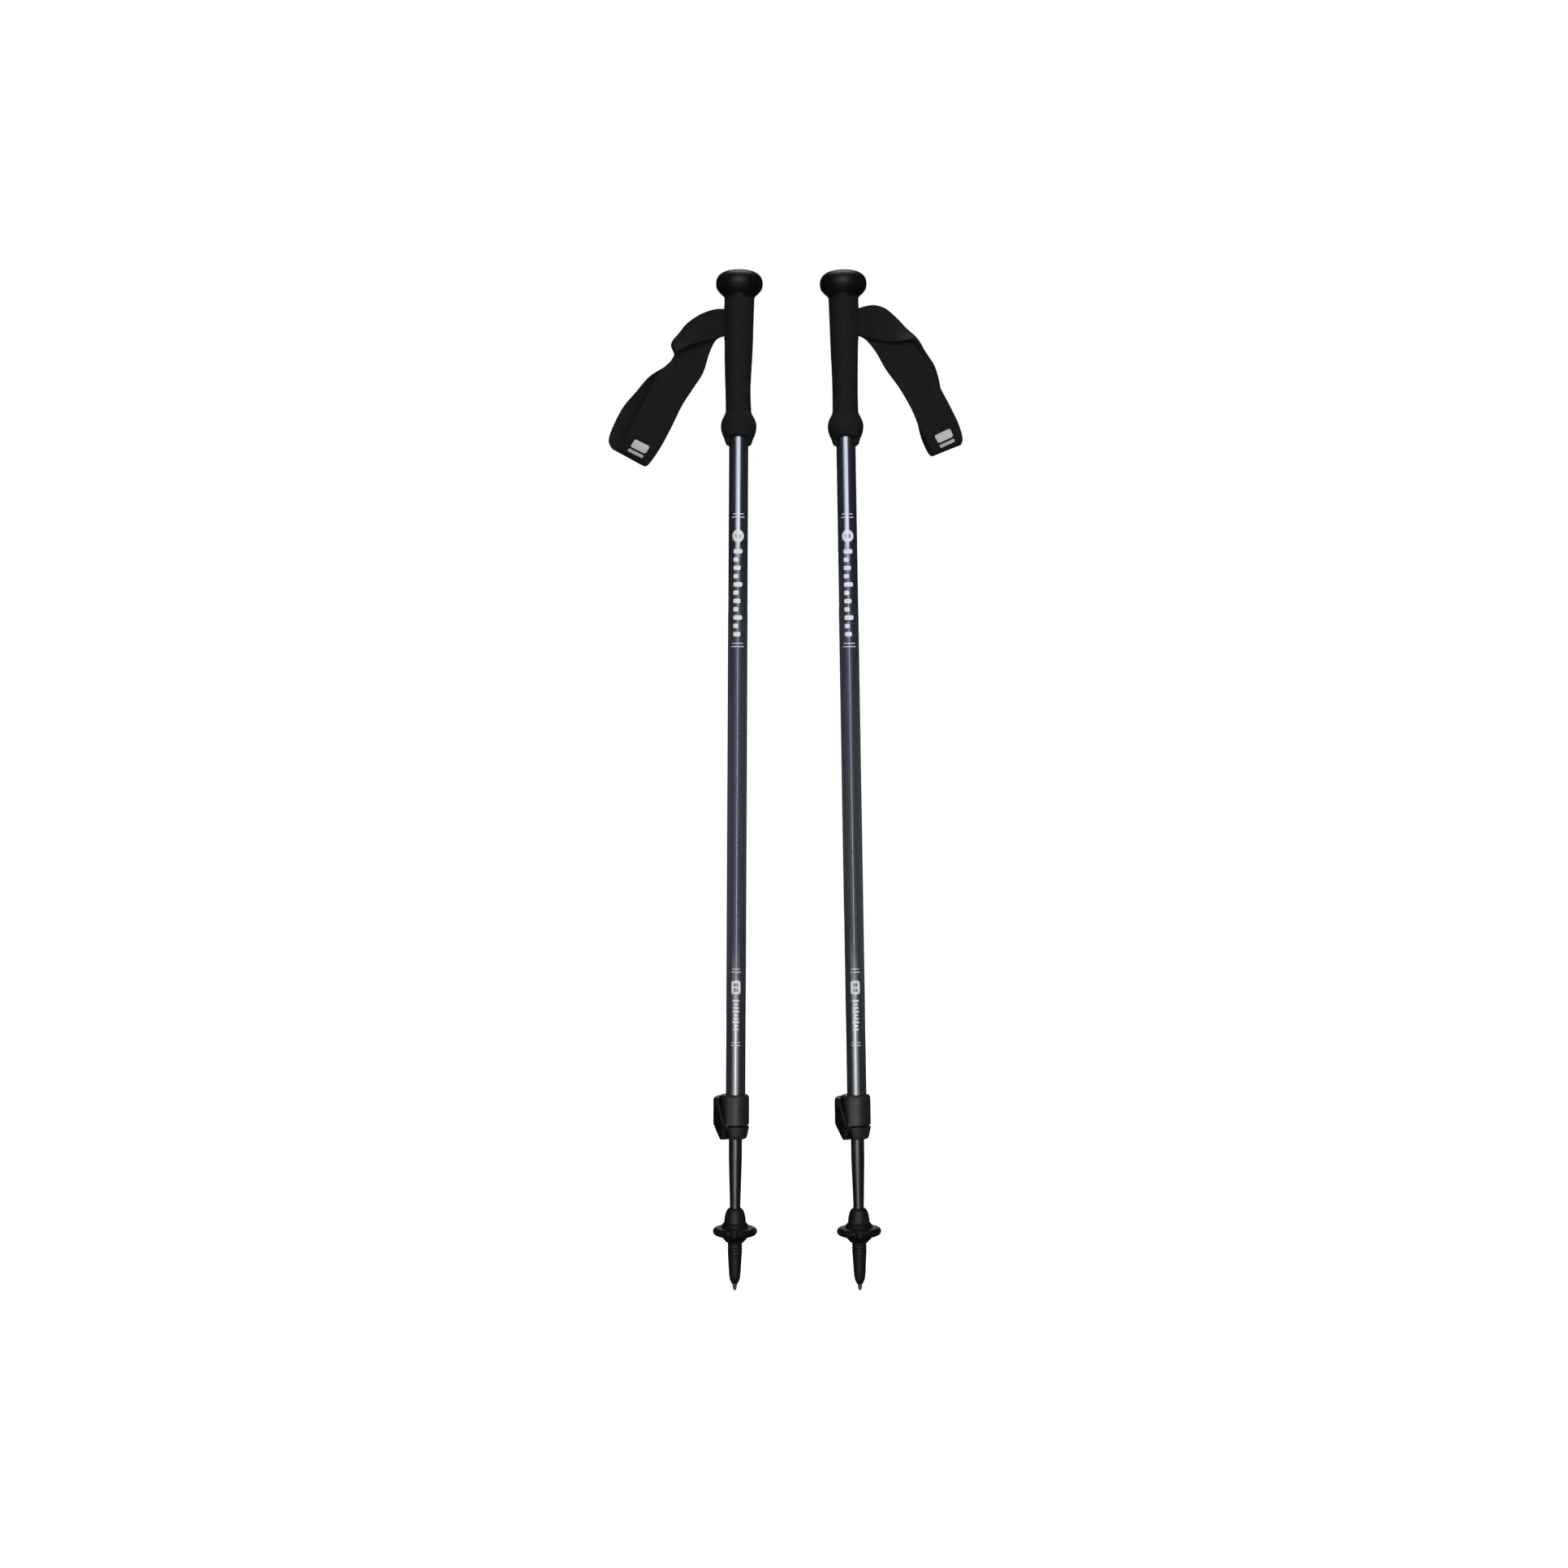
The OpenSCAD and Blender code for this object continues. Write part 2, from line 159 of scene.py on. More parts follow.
def soft_copy(name, node, pole, material, voxel, rounds, shape=None, lofts=()):
    """A copy of a CAD node's mesh, remeshed and smoothed in the pole's upright frame, so that its
    moulded edges are round. The remesh joins on the closed lofts, each a list of rings of points.
    shape(point), if given, moves each point. Both are in millimetres."""
    mesh = nodes[node].data.copy()
    mesh.name = name
    obj = bpy.data.objects.new(name, mesh)
    bpy.context.scene.collection.objects.link(obj)
    mesh.transform(FRAME[pole].inverted())
    weld(obj)
    for rings in lofts:
        add_loft(mesh, rings)
    remesh = obj.modifiers.new("remesh", "REMESH")
    remesh.mode = "VOXEL"
    remesh.voxel_size = voxel * MM
    soften = obj.modifiers.new("soften", "SMOOTH")
    soften.factor = 0.5
    soften.iterations = rounds
    graph = bpy.context.evaluated_depsgraph_get()
    made = bpy.data.meshes.new_from_object(obj.evaluated_get(graph))
    obj.modifiers.clear()
    obj.data = made
    made.name = name
    if shape:
        for v in made.vertices:
            v.co = shape(v.co / MM) * MM
    made.transform(FRAME[pole])
    finish_mesh(obj, material)
    return obj


def add_loft(mesh, rings):
    bm = bmesh.new()
    loops = [[bm.verts.new(Vector(q) * MM) for q in ring] for ring in rings]
    n = len(rings[0])
    for a, b in zip(loops, loops[1:]):
        for k in range(n):
            bm.faces.new((a[k], a[(k + 1) % n], b[(k + 1) % n], b[k]))
    bm.faces.new(loops[0][::-1])
    bm.faces.new(loops[-1])
    bmesh.ops.recalc_face_normals(bm, faces=bm.faces)
    bm.from_mesh(mesh)
    bm.to_mesh(mesh)
    bm.free()


# ---------------------------------------------------------------- material helpers


class Graph:
    """A material's node tree. The shader's plain values are set on its own sockets."""

    def __init__(self, name, **values):
        self.material = bpy.data.materials.new(name)
        self.material.use_nodes = True
        self.tree = self.material.node_tree
        self.shader = self.tree.nodes["Principled BSDF"]
        self.put(self.shader, {k.replace("_", " "): v for k, v in values.items()})

    def put(self, node, inputs):
        for key, value in inputs.items():
            socket = node.inputs[key]
            if isinstance(value, bpy.types.NodeSocket):
                self.tree.links.new(value, socket)
            else:
                socket.default_value = value

    def add(self, kind, inputs=None, **settings):
        node = self.tree.nodes.new("ShaderNode" + kind)
        for key, value in settings.items():
            setattr(node, key, value)
        self.put(node, inputs or {})
        return node

    def place(self, pole=None, scale=(1, 1, 1)):
        """Object coordinates in millimetres, in the pole's frame if one is named."""
        turn = FRAME[pole].inverted() if pole else Matrix.Identity(4)
        here = self.add("TexCoord").outputs["Object"]
        local = self.add(
            "Mapping",
            {
                "Vector": here,
                "Location": turn.translation / MM,
                "Rotation": turn.to_euler(),
                "Scale": (1 / MM,) * 3,
            },
        ).outputs[0]
        return self.add("Mapping", {"Vector": local, "Scale": scale}).outputs[0]

    def noise(self, vector, scale, detail=2.0, rough=0.5):
        values = {"Vector": vector, "Scale": scale, "Detail": detail, "Roughness": rough}
        return self.add("TexNoise", values).outputs["Fac"]

    def cells(self, vector, scale, feature="F1", output="Distance"):
        values = {"Vector": vector, "Scale": scale}
        return self.add("TexVoronoi", values, feature=feature).outputs[output]

    def math(self, operation, a, b=0.0, c=0.0):
        return self.add("Math", {0: a, 1: b, 2: c}, operation=operation).outputs[0]

    def spread(self, value, low, high, to_low=0.0, to_high=1.0):
        """Carries low..high over to to_low..to_high, and holds it there."""
        values = {"Value": value, 1: low, 2: high, 3: to_low, 4: to_high}
        return self.add("MapRange", values).outputs[0]

    def mix(self, factor, a, b):
        """Mixes two colours, each a socket or three numbers."""
        a, b = (v if isinstance(v, bpy.types.NodeSocket) else (*v, 1) for v in (a, b))
        node = self.add("Mix", {0: factor, 6: a, 7: b}, data_type="RGBA")
        return node.outputs[2]

    def bump(self, height, distance, strength=1.0, below=None):
        values = {"Height": height, "Distance": distance * MM, "Strength": strength}
        if below:
            values["Normal"] = below
        return self.add("Bump", values).outputs[0]


def foam_material():
    g = Graph("foam", Specular_IOR_Level=0.09)
    at = g.place()
    cells = g.cells(at, 2.3)
    fine = g.noise(at, 3.6, 3.0, 0.6)
    patches = g.noise(at, 0.09, 3.0, 0.55)
    mottle = g.noise(at, 0.55, 3.0, 0.65)
    tone = g.math("ADD", g.math("MULTIPLY", patches, 0.35), g.math("MULTIPLY", fine, 0.25))
    tone = g.math("ADD", tone, g.math("MULTIPLY", mottle, 0.4))
    shade = g.spread(tone, 0.38, 0.62)
    colour = g.mix(shade, (0.0028, 0.0026, 0.0025), (0.0132, 0.0122, 0.0118))
    colour = g.mix(g.spread(cells, 0.16, 0.02, 0.0, 0.5), colour, (0.0024, 0.0023, 0.0022))
    rough = g.spread(patches, 0.35, 0.7, 0.72, 0.9)
    grain = g.math("ADD", g.math("MULTIPLY", cells, 0.7), g.math("MULTIPLY", fine, 0.5))
    g.put(g.shader, {"Base Color": colour, "Roughness": rough, "Normal": g.bump(grain, 0.16, 0.8)})
    return g.material


def plastic_material(name, dark, light, rough, grain, depth, specular):
    """Moulded plastic with a spark-eroded grain, faint flow shading and rubbed patches."""
    g = Graph(name, Specular_IOR_Level=specular)
    at = g.place()
    cloud = g.noise(at, 0.13, 3.0, 0.5)
    fine = g.noise(at, grain, 2.0, 0.6)
    rubbed = g.spread(g.noise(at, 0.35, 4.0, 0.65), 0.5, 0.72)
    tone = g.math("ADD", cloud, g.math("MULTIPLY", fine, 0.35))
    colour = g.mix(g.spread(tone, 0.5, 0.85), dark, light)
    roughness = g.math("SUBTRACT", g.spread(fine, 0.3, 0.7, rough - 0.04, rough + 0.06),
                       g.math("MULTIPLY", rubbed, 0.07))
    g.put(g.shader, {"Base Color": colour, "Roughness": roughness, "Normal": g.bump(fine, depth, 0.7)})
    return g.material


def paint_material(pole):
    """Gloss paint on the upper tube: dark navy, with fine flake, orange peel and hair scratches."""
    g = Graph("paint_" + pole, Metallic=0.35, Coat_Weight=1.0, Coat_Roughness=0.05, Coat_IOR=1.5)
    at = g.place(pole)
    flake = g.cells(at, 6.5, output="Color")
    bright = g.add("SeparateColor", {"Color": flake}).outputs[0]
    cloud = g.noise(g.place(pole, (1, 1, 0.03)), 0.35, 2.0, 0.5)
    colour = g.mix(g.spread(cloud, 0.35, 0.65), (0.006, 0.0085, 0.014), (0.0105, 0.014, 0.022))
    colour = g.mix(g.spread(bright, 0.86, 1.0, 0.0, 0.55), colour, (0.05, 0.062, 0.09))
    lines = g.noise(g.place(pole, (6, 6, 0.12)), 0.9, 3.0, 0.7)
    rough = g.spread(lines, 0.4, 0.75, 0.36, 0.46)
    peel = g.bump(g.noise(at, 1.1, 2.0, 0.4), 0.012, 0.35)
    g.put(g.shader, {"Base Color": colour, "Roughness": rough, "Coat Normal": peel,
                     "Normal": g.bump(lines, 0.006, 0.3, peel)})
    return g.material


def anodised_material(pole):
    """Black anodised lower tube with drawing lines, rub marks and plain depth ticks further up."""
    g = Graph("anodised_" + pole, Metallic=0.6, Specular_IOR_Level=0.5)
    at = g.place(pole)
    lines = g.noise(g.place(pole, (8, 8, 0.05)), 1.0, 3.0, 0.7)
    cloud = g.noise(g.place(pole, (1, 1, 0.1)), 0.4, 3.0, 0.6)
    tone = g.math("ADD", g.math("MULTIPLY", lines, 0.5), g.math("MULTIPLY", cloud, 0.5))
    colour = g.mix(g.spread(tone, 0.35, 0.65), (0.008, 0.0084, 0.009), (0.019, 0.0196, 0.021))
    tick = tick_mask(g, g.add("SeparateXYZ", {"Vector": at}).outputs)
    colour = g.mix(tick, colour, (0.42, 0.42, 0.43))
    rough = g.spread(lines, 0.35, 0.75, 0.24, 0.36)
    g.put(g.shader, {"Base Color": colour, "Roughness": rough, "Normal": g.bump(lines, 0.008, 0.4)})
    return g.material


TICK_FROM, TICK_PITCH, TICK_LINE, TICK_DEEP = 240.0, 50.0, 0.55, 4.6


def tick_mask(g, xyz):
    """One where a depth tick is printed on the front of the lower tube."""
    step = g.math("MODULO", g.math("SUBTRACT", xyz[2], TICK_FROM), TICK_PITCH)
    line = g.math("LESS_THAN", g.math("ABSOLUTE", g.math("SUBTRACT", step, TICK_PITCH / 2)), TICK_LINE)
    above = g.math("GREATER_THAN", xyz[2], TICK_FROM)
    front = g.math("LESS_THAN", xyz[1], -TICK_DEEP)
    return g.math("MULTIPLY", line, g.math("MULTIPLY", above, front))


WEB_COLUMNS, WEB_PITCH = 20.0, 1.5


def webbing_material():
    """Twill webbing: columns of warp floats that step up by a quarter from one to the next."""
    g = Graph("webbing", Roughness=0.78, Specular_IOR_Level=0.09, Sheen_Weight=0.012,
              Sheen_Roughness=0.4, Sheen_Tint=(0.55, 0.56, 0.6, 1))
    uv = g.add("UVMap", uv_map="weave").outputs[0]
    xyz = g.add("SeparateXYZ", {"Vector": uv}).outputs
    column = g.math("MULTIPLY", xyz[0], WEB_COLUMNS)
    index = g.math("FLOOR", column)
    across = g.math("SINE", g.math("MULTIPLY", g.math("FRACT", column), math.pi))
    run = g.math("ADD", g.math("MULTIPLY", xyz[1], 1 / WEB_PITCH), g.math("MULTIPLY", index, 0.25))
    along = g.math("SINE", g.math("MULTIPLY", g.math("FRACT", run), math.pi))
    height = g.math("MULTIPLY", g.math("POWER", across, 0.6), g.math("POWER", along, 0.7))
    fuzz = g.noise(g.place(), 4.5, 4.0, 0.65)
    threads = g.add("Mapping", {"Vector": uv, "Scale": (90.0, 0.6, 1)}).outputs[0]
    strands = g.noise(threads, 1.0, 2.0, 0.6)
    # Float tops are painted lighter and the hollows between floats darker, a painted highlight and
    # painted shade on the weave, mixed with each strand's own tone
    tone = g.math("ADD", g.math("MULTIPLY", height, 0.62), g.math("MULTIPLY", strands, 0.38))
    colour = g.mix(g.spread(tone, 0.15, 0.95), (0.0009, 0.0009, 0.0010), (0.0112, 0.0112, 0.0115))
    edge = g.math("ABSOLUTE", g.math("SUBTRACT", xyz[0], 0.5))
    colour = g.mix(g.spread(edge, 0.462, 0.478, 0.0, 0.6), colour, (0.0075, 0.0075, 0.0078))
    relief = g.math("ADD", height, g.math("MULTIPLY", fuzz, 0.25))
    g.put(g.shader, {"Base Color": colour, "Normal": g.bump(relief, 0.28, 0.9)})
    return g.material


EDGE_X, EDGE_Z, EDGE_R = 40.0, 191.7, 56.4  # the curve of the lever's front edge, seen from the front
# The lever's pale rim along its front edge and its pale upper part are a painted highlight; the face
# inside them is painted dark as shade
HIGHLIGHT_RIM, HIGHLIGHT_TOP = 2.1, 182.5


def lever_material(pole):
    """The lever's plastic: a dull face painted dark as shade, inside a paler rim along the front edge
    and the end that is a painted highlight.
    """
    g = Graph("lever_" + pole, Specular_IOR_Level=0.05)
    at = g.place(pole)
    xyz = g.add("SeparateXYZ", {"Vector": at}).outputs
    across, up = g.math("SUBTRACT", xyz[0], EDGE_X), g.math("SUBTRACT", xyz[2], EDGE_Z)
    reach = g.math("SQRT", g.math("ADD", g.math("MULTIPLY", across, across), g.math("MULTIPLY", up, up)))
    # One on the face, which is painted dark as shade; nothing on the rim and the upper part, which are
    # painted pale as a highlight
    painted_shade_mask = g.spread(reach, EDGE_R + HIGHLIGHT_RIM - 0.35, EDGE_R + HIGHLIGHT_RIM + 0.35)
    painted_shade_mask = g.math("MULTIPLY", painted_shade_mask, g.spread(xyz[2], HIGHLIGHT_TOP - 1.5, HIGHLIGHT_TOP + 1.5, 1.0, 0.0))
    cloud = g.noise(at, 0.13, 3.0, 0.5)
    fine = g.noise(at, 5.0, 2.0, 0.6)
    tone = g.spread(g.math("ADD", cloud, g.math("MULTIPLY", fine, 0.35)), 0.5, 0.85)
    # The face's painted shade colours, then the rim's painted highlight colours
    dark = g.mix(tone, (0.0014, 0.0013, 0.0012), (0.0038, 0.0036, 0.0034))
    painted_highlight = g.mix(tone, (0.0165, 0.0154, 0.0147), (0.0245, 0.0231, 0.022))
    colour = g.mix(painted_shade_mask, painted_highlight, dark)
    rough = g.math("ADD", g.spread(fine, 0.3, 0.7, 0.42, 0.52), g.math("MULTIPLY", painted_shade_mask, 0.16))
    g.put(g.shader, {"Base Color": colour, "Roughness": rough, "Normal": g.bump(fine, 0.02, 0.7)})
    return g.material


def print_material(name, tone, rough):
    """Screen print or reflective film, thin in places."""
    g = Graph(name, Specular_IOR_Level=0.5)
    at = g.place()
    speck = g.spread(g.noise(at, 3.0, 4.0, 0.7), 0.56, 0.68)
    colour = g.mix(g.math("MULTIPLY", speck, 0.35), tone, tuple(0.45 * c for c in tone))
    wear = g.spread(g.noise(at, 1.2), 0.3, 0.7, rough, rough + 0.12)
    g.put(g.shader, {"Base Color": colour, "Roughness": wear})
    return g.material


def steel_material(name, colour, rough):
    g = Graph(name, Metallic=1.0)
    at = g.place(None, (1, 1, 6))
    lines = g.noise(at, 2.2, 3.0, 0.65)
    dull = g.noise(g.place(), 0.5, 3.0, 0.6)
    dark = tuple(0.55 * c for c in colour)
    g.put(g.shader, {"Base Color": g.mix(g.spread(dull, 0.35, 0.7), colour, dark),
                     "Roughness": g.spread(lines, 0.3, 0.7, rough, rough + 0.15),
                     "Normal": g.bump(lines, 0.01, 0.5)})
    return g.material


# Each plastic's dark and light colour, roughness, grain, relief and specular level
PLASTICS = {
    "knob": ((0.002, 0.002, 0.0021), (0.0042, 0.0041, 0.0041), 0.44, 7.0, 0.012, 0.09),
    "core": ((0.012, 0.012, 0.012), (0.02, 0.02, 0.02), 0.6, 5.0, 0.03, 0.5),
    "lock": ((0.0085, 0.0078, 0.0073), (0.0155, 0.0144, 0.0135), 0.48, 5.0, 0.02, 0.2),
    "tip": ((0.003, 0.003, 0.0031), (0.0064, 0.0064, 0.0066), 0.5, 5.0, 0.02, 0.13),
    "basket": ((0.0022, 0.0022, 0.0023), (0.0046, 0.0046, 0.0048), 0.56, 4.0, 0.025, 0.08),
    "bush": ((0.2, 0.2, 0.19), (0.27, 0.27, 0.26), 0.5, 5.0, 0.03, 0.5),
}
MAT = {
    "foam": foam_material(),
    "webbing": webbing_material(),
    "print": print_material("print", (0.9, 0.92, 0.95), 0.5),
    "film": print_material("film", (0.46, 0.47, 0.48), 0.3),
    "steel": steel_material("steel", (0.5, 0.5, 0.51), 0.3),
    "carbide": steel_material("carbide", (0.22, 0.19, 0.17), 0.34),
}
MAT.update({name: plastic_material(name, *look) for name, look in PLASTICS.items()})
for p in POLES:
    MAT["paint_" + p] = paint_material(p)
    MAT["lever_" + p] = lever_material(p)
    MAT["anodised_" + p] = anodised_material(p)


def dress(node, material):
    for slot in nodes[node].material_slots:
        slot.link = "OBJECT"
        slot.material = material


# The CAD nodes that stay as they are, and their materials
CAD_LOOKS = {
    "carbide_tip": "carbide", "grip_core": "core", "strap_wedge": "core", "strap_pin": "steel",
    "lock_nut": "steel", "lock_screw": "steel", "lock_washer": "steel",
    "shaft_bushing": "bush", "guide_plug": "bush",
}
for p in POLES:
    dress(p + "_upper_shaft", MAT["paint_" + p])
    dress(p + "_lower_shaft", MAT["anodised_" + p])
    for node, look in CAD_LOOKS.items():
        dress(p + "_" + node, MAT[look])

# ---------------------------------------------------------------- knob

KNOB_LOW, KNOB_TOP, KNOB_BORE = 972.4, 1000.0, 12.0
# The outside of the knob as (r, z), from below
KNOB_PROFILE = [
    (14.5, KNOB_LOW), (14.9, 973.6), (16.3, 975.7), (18.7, 977.8), (21.1, 980.6), (22.5, 983.2),
    (22.97, 987.0), (22.75, 990.0), (21.9, 992.6), (20.2, 995.1), (17.3, 997.3), (13.4, 998.8),
    (8.0, 999.65), (0.0, KNOB_TOP),
]


def build_knob(p):
    outline = [(0.0, KNOB_LOW), (KNOB_BORE, KNOB_LOW)]
    outline += [tuple(v) for v in smooth_profile(KNOB_PROFILE, 0.6)]
    outline[-1] = (0.0, KNOB_TOP)
    knob = lathe(p + "_knob", p, outline, MAT["knob"], 144)
    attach(knob, p + "_upper")
    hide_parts(p + "_grip_knob")


# ---------------------------------------------------------------- foam grip


FOAM_TOP, FOAM_BOTTOM, FOAM_BORE = 973.0, 828.6, 9.65
# The outside of the grip as (r, z): a straight body that draws in above a full heel
FOAM_PROFILE = [
    (11.9, FOAM_BOTTOM), (12.9, 831.0), (14.2, 835.0), (15.9, 839.0), (17.1, 843.0), (17.6, 847.0),
    (17.1, 851.0), (15.7, 855.0), (13.6, 859.0), (12.9, 862.0), (12.6, 867.0), (12.6, 882.0),
    (12.9, 903.0), (13.4, 920.0), (13.8, 935.0), (14.1, 950.0), (14.5, 964.0), (14.75, FOAM_TOP),
]
FOAM_TURNS, FOAM_ROWS = 160, 190
ARCH_RISE, ARCH_HALF, ARCH_R, HEEL_TOP = 8.4, 11.3, 13.0, 850.0
WORN = {"left": (1.1, 1.1), "right": (0.1, 0.2)}  # fuller to the strap's side, hollower away from it
FULLER_Z, FULLER_SPAN = 905.0, 34.0
HOLLOWER_Z, HOLLOWER_SPAN = 884.0, 24.0
CREASE_Z, CREASE_SPAN, CREASE = 861.5, 0.7, 0.22  # the moulded line above the heel
SLOT_Z, SLOT_HALF, SLOT_WIDE, LIP = 949.0, 11.0, 5.5, 0.45  # the swelling round the strap's slot
ARCH_ROUND, TOP_ROUND = 1.1, 0.7


def profile_radius(z):
    knots = [q[1] for q in FOAM_PROFILE]
    return hermite([Vector(q) for q in FOAM_PROFILE], knots, min(max(z, knots[0]), knots[-1])).x


def arch_height(angle):
    """The lower edge of the foam, which is cut as an arch at the front and at the back."""
    across = abs(ARCH_R * math.cos(angle)) / ARCH_HALF
    return FOAM_BOTTOM + ARCH_RISE * math.sqrt(max(0.0, 1 - across ** 4))


def swell(z, middle, span):
    return math.exp(-(((z - middle) / span) ** 2))


def rounded(depth, radius):
    """How far an edge's rounding draws the surface in, at this depth from the edge."""
    return radius * (1 - math.sqrt(max(0.0, 1 - max(0.0, 1 - depth / radius) ** 2)))


def build_foam(p):
    fuller, hollower = WORN[p]
    turns, rows = FOAM_TURNS, FOAM_ROWS
    points, faces = [], []
    for i in range(rows + 1):
        level = FOAM_BOTTOM + (FOAM_TOP - FOAM_BOTTOM) * i / rows
        for k in range(turns):
            a = 2 * math.pi * k / turns
            low = arch_height(a)
            z = level
            if level < HEEL_TOP:
                z = low + (level - FOAM_BOTTOM) * (HEEL_TOP - low) / (HEEL_TOP - FOAM_BOTTOM)
            out = SIDE[p] * math.cos(a)
            r = profile_radius(z)
            r += fuller * max(out, 0.0) * swell(z, FULLER_Z, FULLER_SPAN)
            r -= hollower * max(-out, 0.0) * swell(z, HOLLOWER_Z, HOLLOWER_SPAN)
            r -= CREASE * swell(z, CREASE_Z, CREASE_SPAN)
            lip = math.hypot(r * math.sin(a) / SLOT_WIDE, max(0.0, abs(z - SLOT_Z) - SLOT_HALF) / 5.0)
            if out > 0:
                r += LIP * math.exp(-((lip - 0.9) ** 2) / 0.12)
            place = Vector((r * math.cos(a), r * math.sin(a), z))
            r += 0.10 * noise(place * 0.21) + 0.05 * noise(place * 0.8)
            r -= rounded(z - low, ARCH_ROUND)
            r -= rounded(FOAM_TOP - z, TOP_ROUND)
            points.append((r * math.cos(a), r * math.sin(a), z))
    for bottom in (False, True):
        for k in range(turns):
            a = 2 * math.pi * k / turns
            z = arch_height(a) if bottom else FOAM_TOP
            points.append((FOAM_BORE * math.cos(a), FOAM_BORE * math.sin(a), z))
    # Up the outside, over the top, down the bore and out along the arch
    order = list(range(rows + 3)) + [0]
    for a, b in zip(order, order[1:]):
        for k in range(turns):
            j = (k + 1) % turns
            faces.append((a * turns + k, a * turns + j, b * turns + j, b * turns + k))
    foam = make_object(p + "_foam", points, faces, p, MAT["foam"], 60)
    weld(foam)
    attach(foam, p + "_upper")
    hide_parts(p + "_grip_foam")


# ---------------------------------------------------------------- wrist straps

# Stations of the two edges of each strap, from the slot round the loop and back to it:
# ((out, y, z) of the first edge, (out, y, z) of the second), out from the pole's axis.
LEFT_STRAP = [
    ((5, -1.7, 962), (5, -1.7, 936)),
    ((13, -1.9, 962.4), (13, -1.9, 936)),
    ((24, -4, 961.5), (26, -5, 932)),
    ((37, -6.5, 956.5), (38.8, -9, 928)),
    ((50, -1, 949), (50, -12, 923.5)),
    ((58.5, 8, 941), (55.5, -12, 921)),
    ((66.8, 15, 931), (60.5, -10.5, 918.5)),
    ((63, 22, 921), (63.5, -5, 914)),
    ((56, 23, 894), (71.5, 1, 907)),
    ((68.5, 17, 876), (88.5, 4, 896.5)),
    ((77.6, 12.5, 860.6), (102, 6.5, 881.5)),
    ((85.7, 10, 848.3), (114, 8, 867.5)),
    ((91, 8.5, 837), (122.8, 8, 851)),
    ((96, 6.5, 822), (128, 6, 836)),
    ((95, 4, 812.5), (126.6, 3.5, 828.5)),
    ((91, 0, 808), (121.5, 0, 824.5)),
    ((86, -4, 811.5), (117, -4, 827)),
    ((76.2, -6.5, 825.5), (107.4, -6.5, 841)),
    ((65.2, -7.5, 846), (96.8, -7.5, 861)),
    ((55.5, -8, 866), (87.3, -7.5, 881)),
    ((45, -8, 882.4), (77, -6.5, 900)),
    ((35, -5, 899), (63.5, -3.5, 914.5)),
    ((29.4, -1, 918), (54.5, 1, 934)),
    ((24, 1.2, 930.5), (43, 3.2, 949)),
    ((18.8, 2.4, 935), (29, 3.2, 958.5)),
    ((13, 2, 936), (13, 2, 962.4)),
    ((5, 1.7, 936), (5, 1.7, 962)),
]
RIGHT_STRAP = [
    ((5, -1.7, 962), (5, -1.7, 936)),
    ((13, -1.9, 962.6), (13, -1.9, 936)),
    ((22, -3.4, 964.8), (22, -4, 934)),
    ((31, -5, 965), (30.5, -7.5, 930.5)),
    ((41, -5, 961.5), (41, -10.5, 928.3)),
    ((51, -1, 953.7), (51, -12.8, 927.2)),
    ((61, 9, 945), (60, -13, 928.3)),
    ((72, 14, 935.5), (65.6, -12.3, 929.7)),
    ((81, 20, 923), (60, -3, 921)),
    ((89.3, 22, 911), (63, 3, 907.5)),
    ((93.8, 21, 896), (65.5, 6, 890.5)),
    ((96, 17, 880.5), (68, 7.5, 873)),
    ((98.3, 12.5, 867), (70.5, 8, 854.5)),
    ((103.8, 9, 852), (74.2, 7.8, 837)),
    ((109, 6.5, 839.5), (79.4, 6, 823.5)),
    ((113, 0, 828.5), (83.3, 0, 817.2)),
    ((114.4, -4, 833), (84.7, -4, 820.2)),
    ((111.3, -6.2, 845), (78.6, -6.2, 830.5)),
    ((105, -8, 859), (72.3, -8, 842.5)),
    ((94.8, -9, 879), (65, -9, 860.5)),
    ((84, -9, 900), (53.3, -9, 882)),
    ((71.5, -8, 919.5), (40, -7.5, 901.5)),
    ((59, -4.5, 937), (30.5, -4, 919.5)),
    ((38, 1.6, 953.5), (21.5, 0.8, 932)),
    ((26, 2.6, 960.5), (16.5, 2.2, 935.6)),
    ((13, 2, 962.4), (13, 2, 936)),
    ((5, 1.7, 962), (5, 1.7, 936)),
]
WEB_THICK, WEB_WIDTH, WEB_STEP = 1.8, 33.0, 1.25
WAVE = 0.12  # how far the webbing waves off its smooth surface
ACROSS, FINE = 22, 1200  # points across the webbing, and steps along it to measure its length by
NEAR = 0.8  # how far on either side of a point its direction is taken
SELVEDGE, RIDGE, RIDGE_FROM, FULLNESS = 0.965, 0.1, 0.9, 1.15


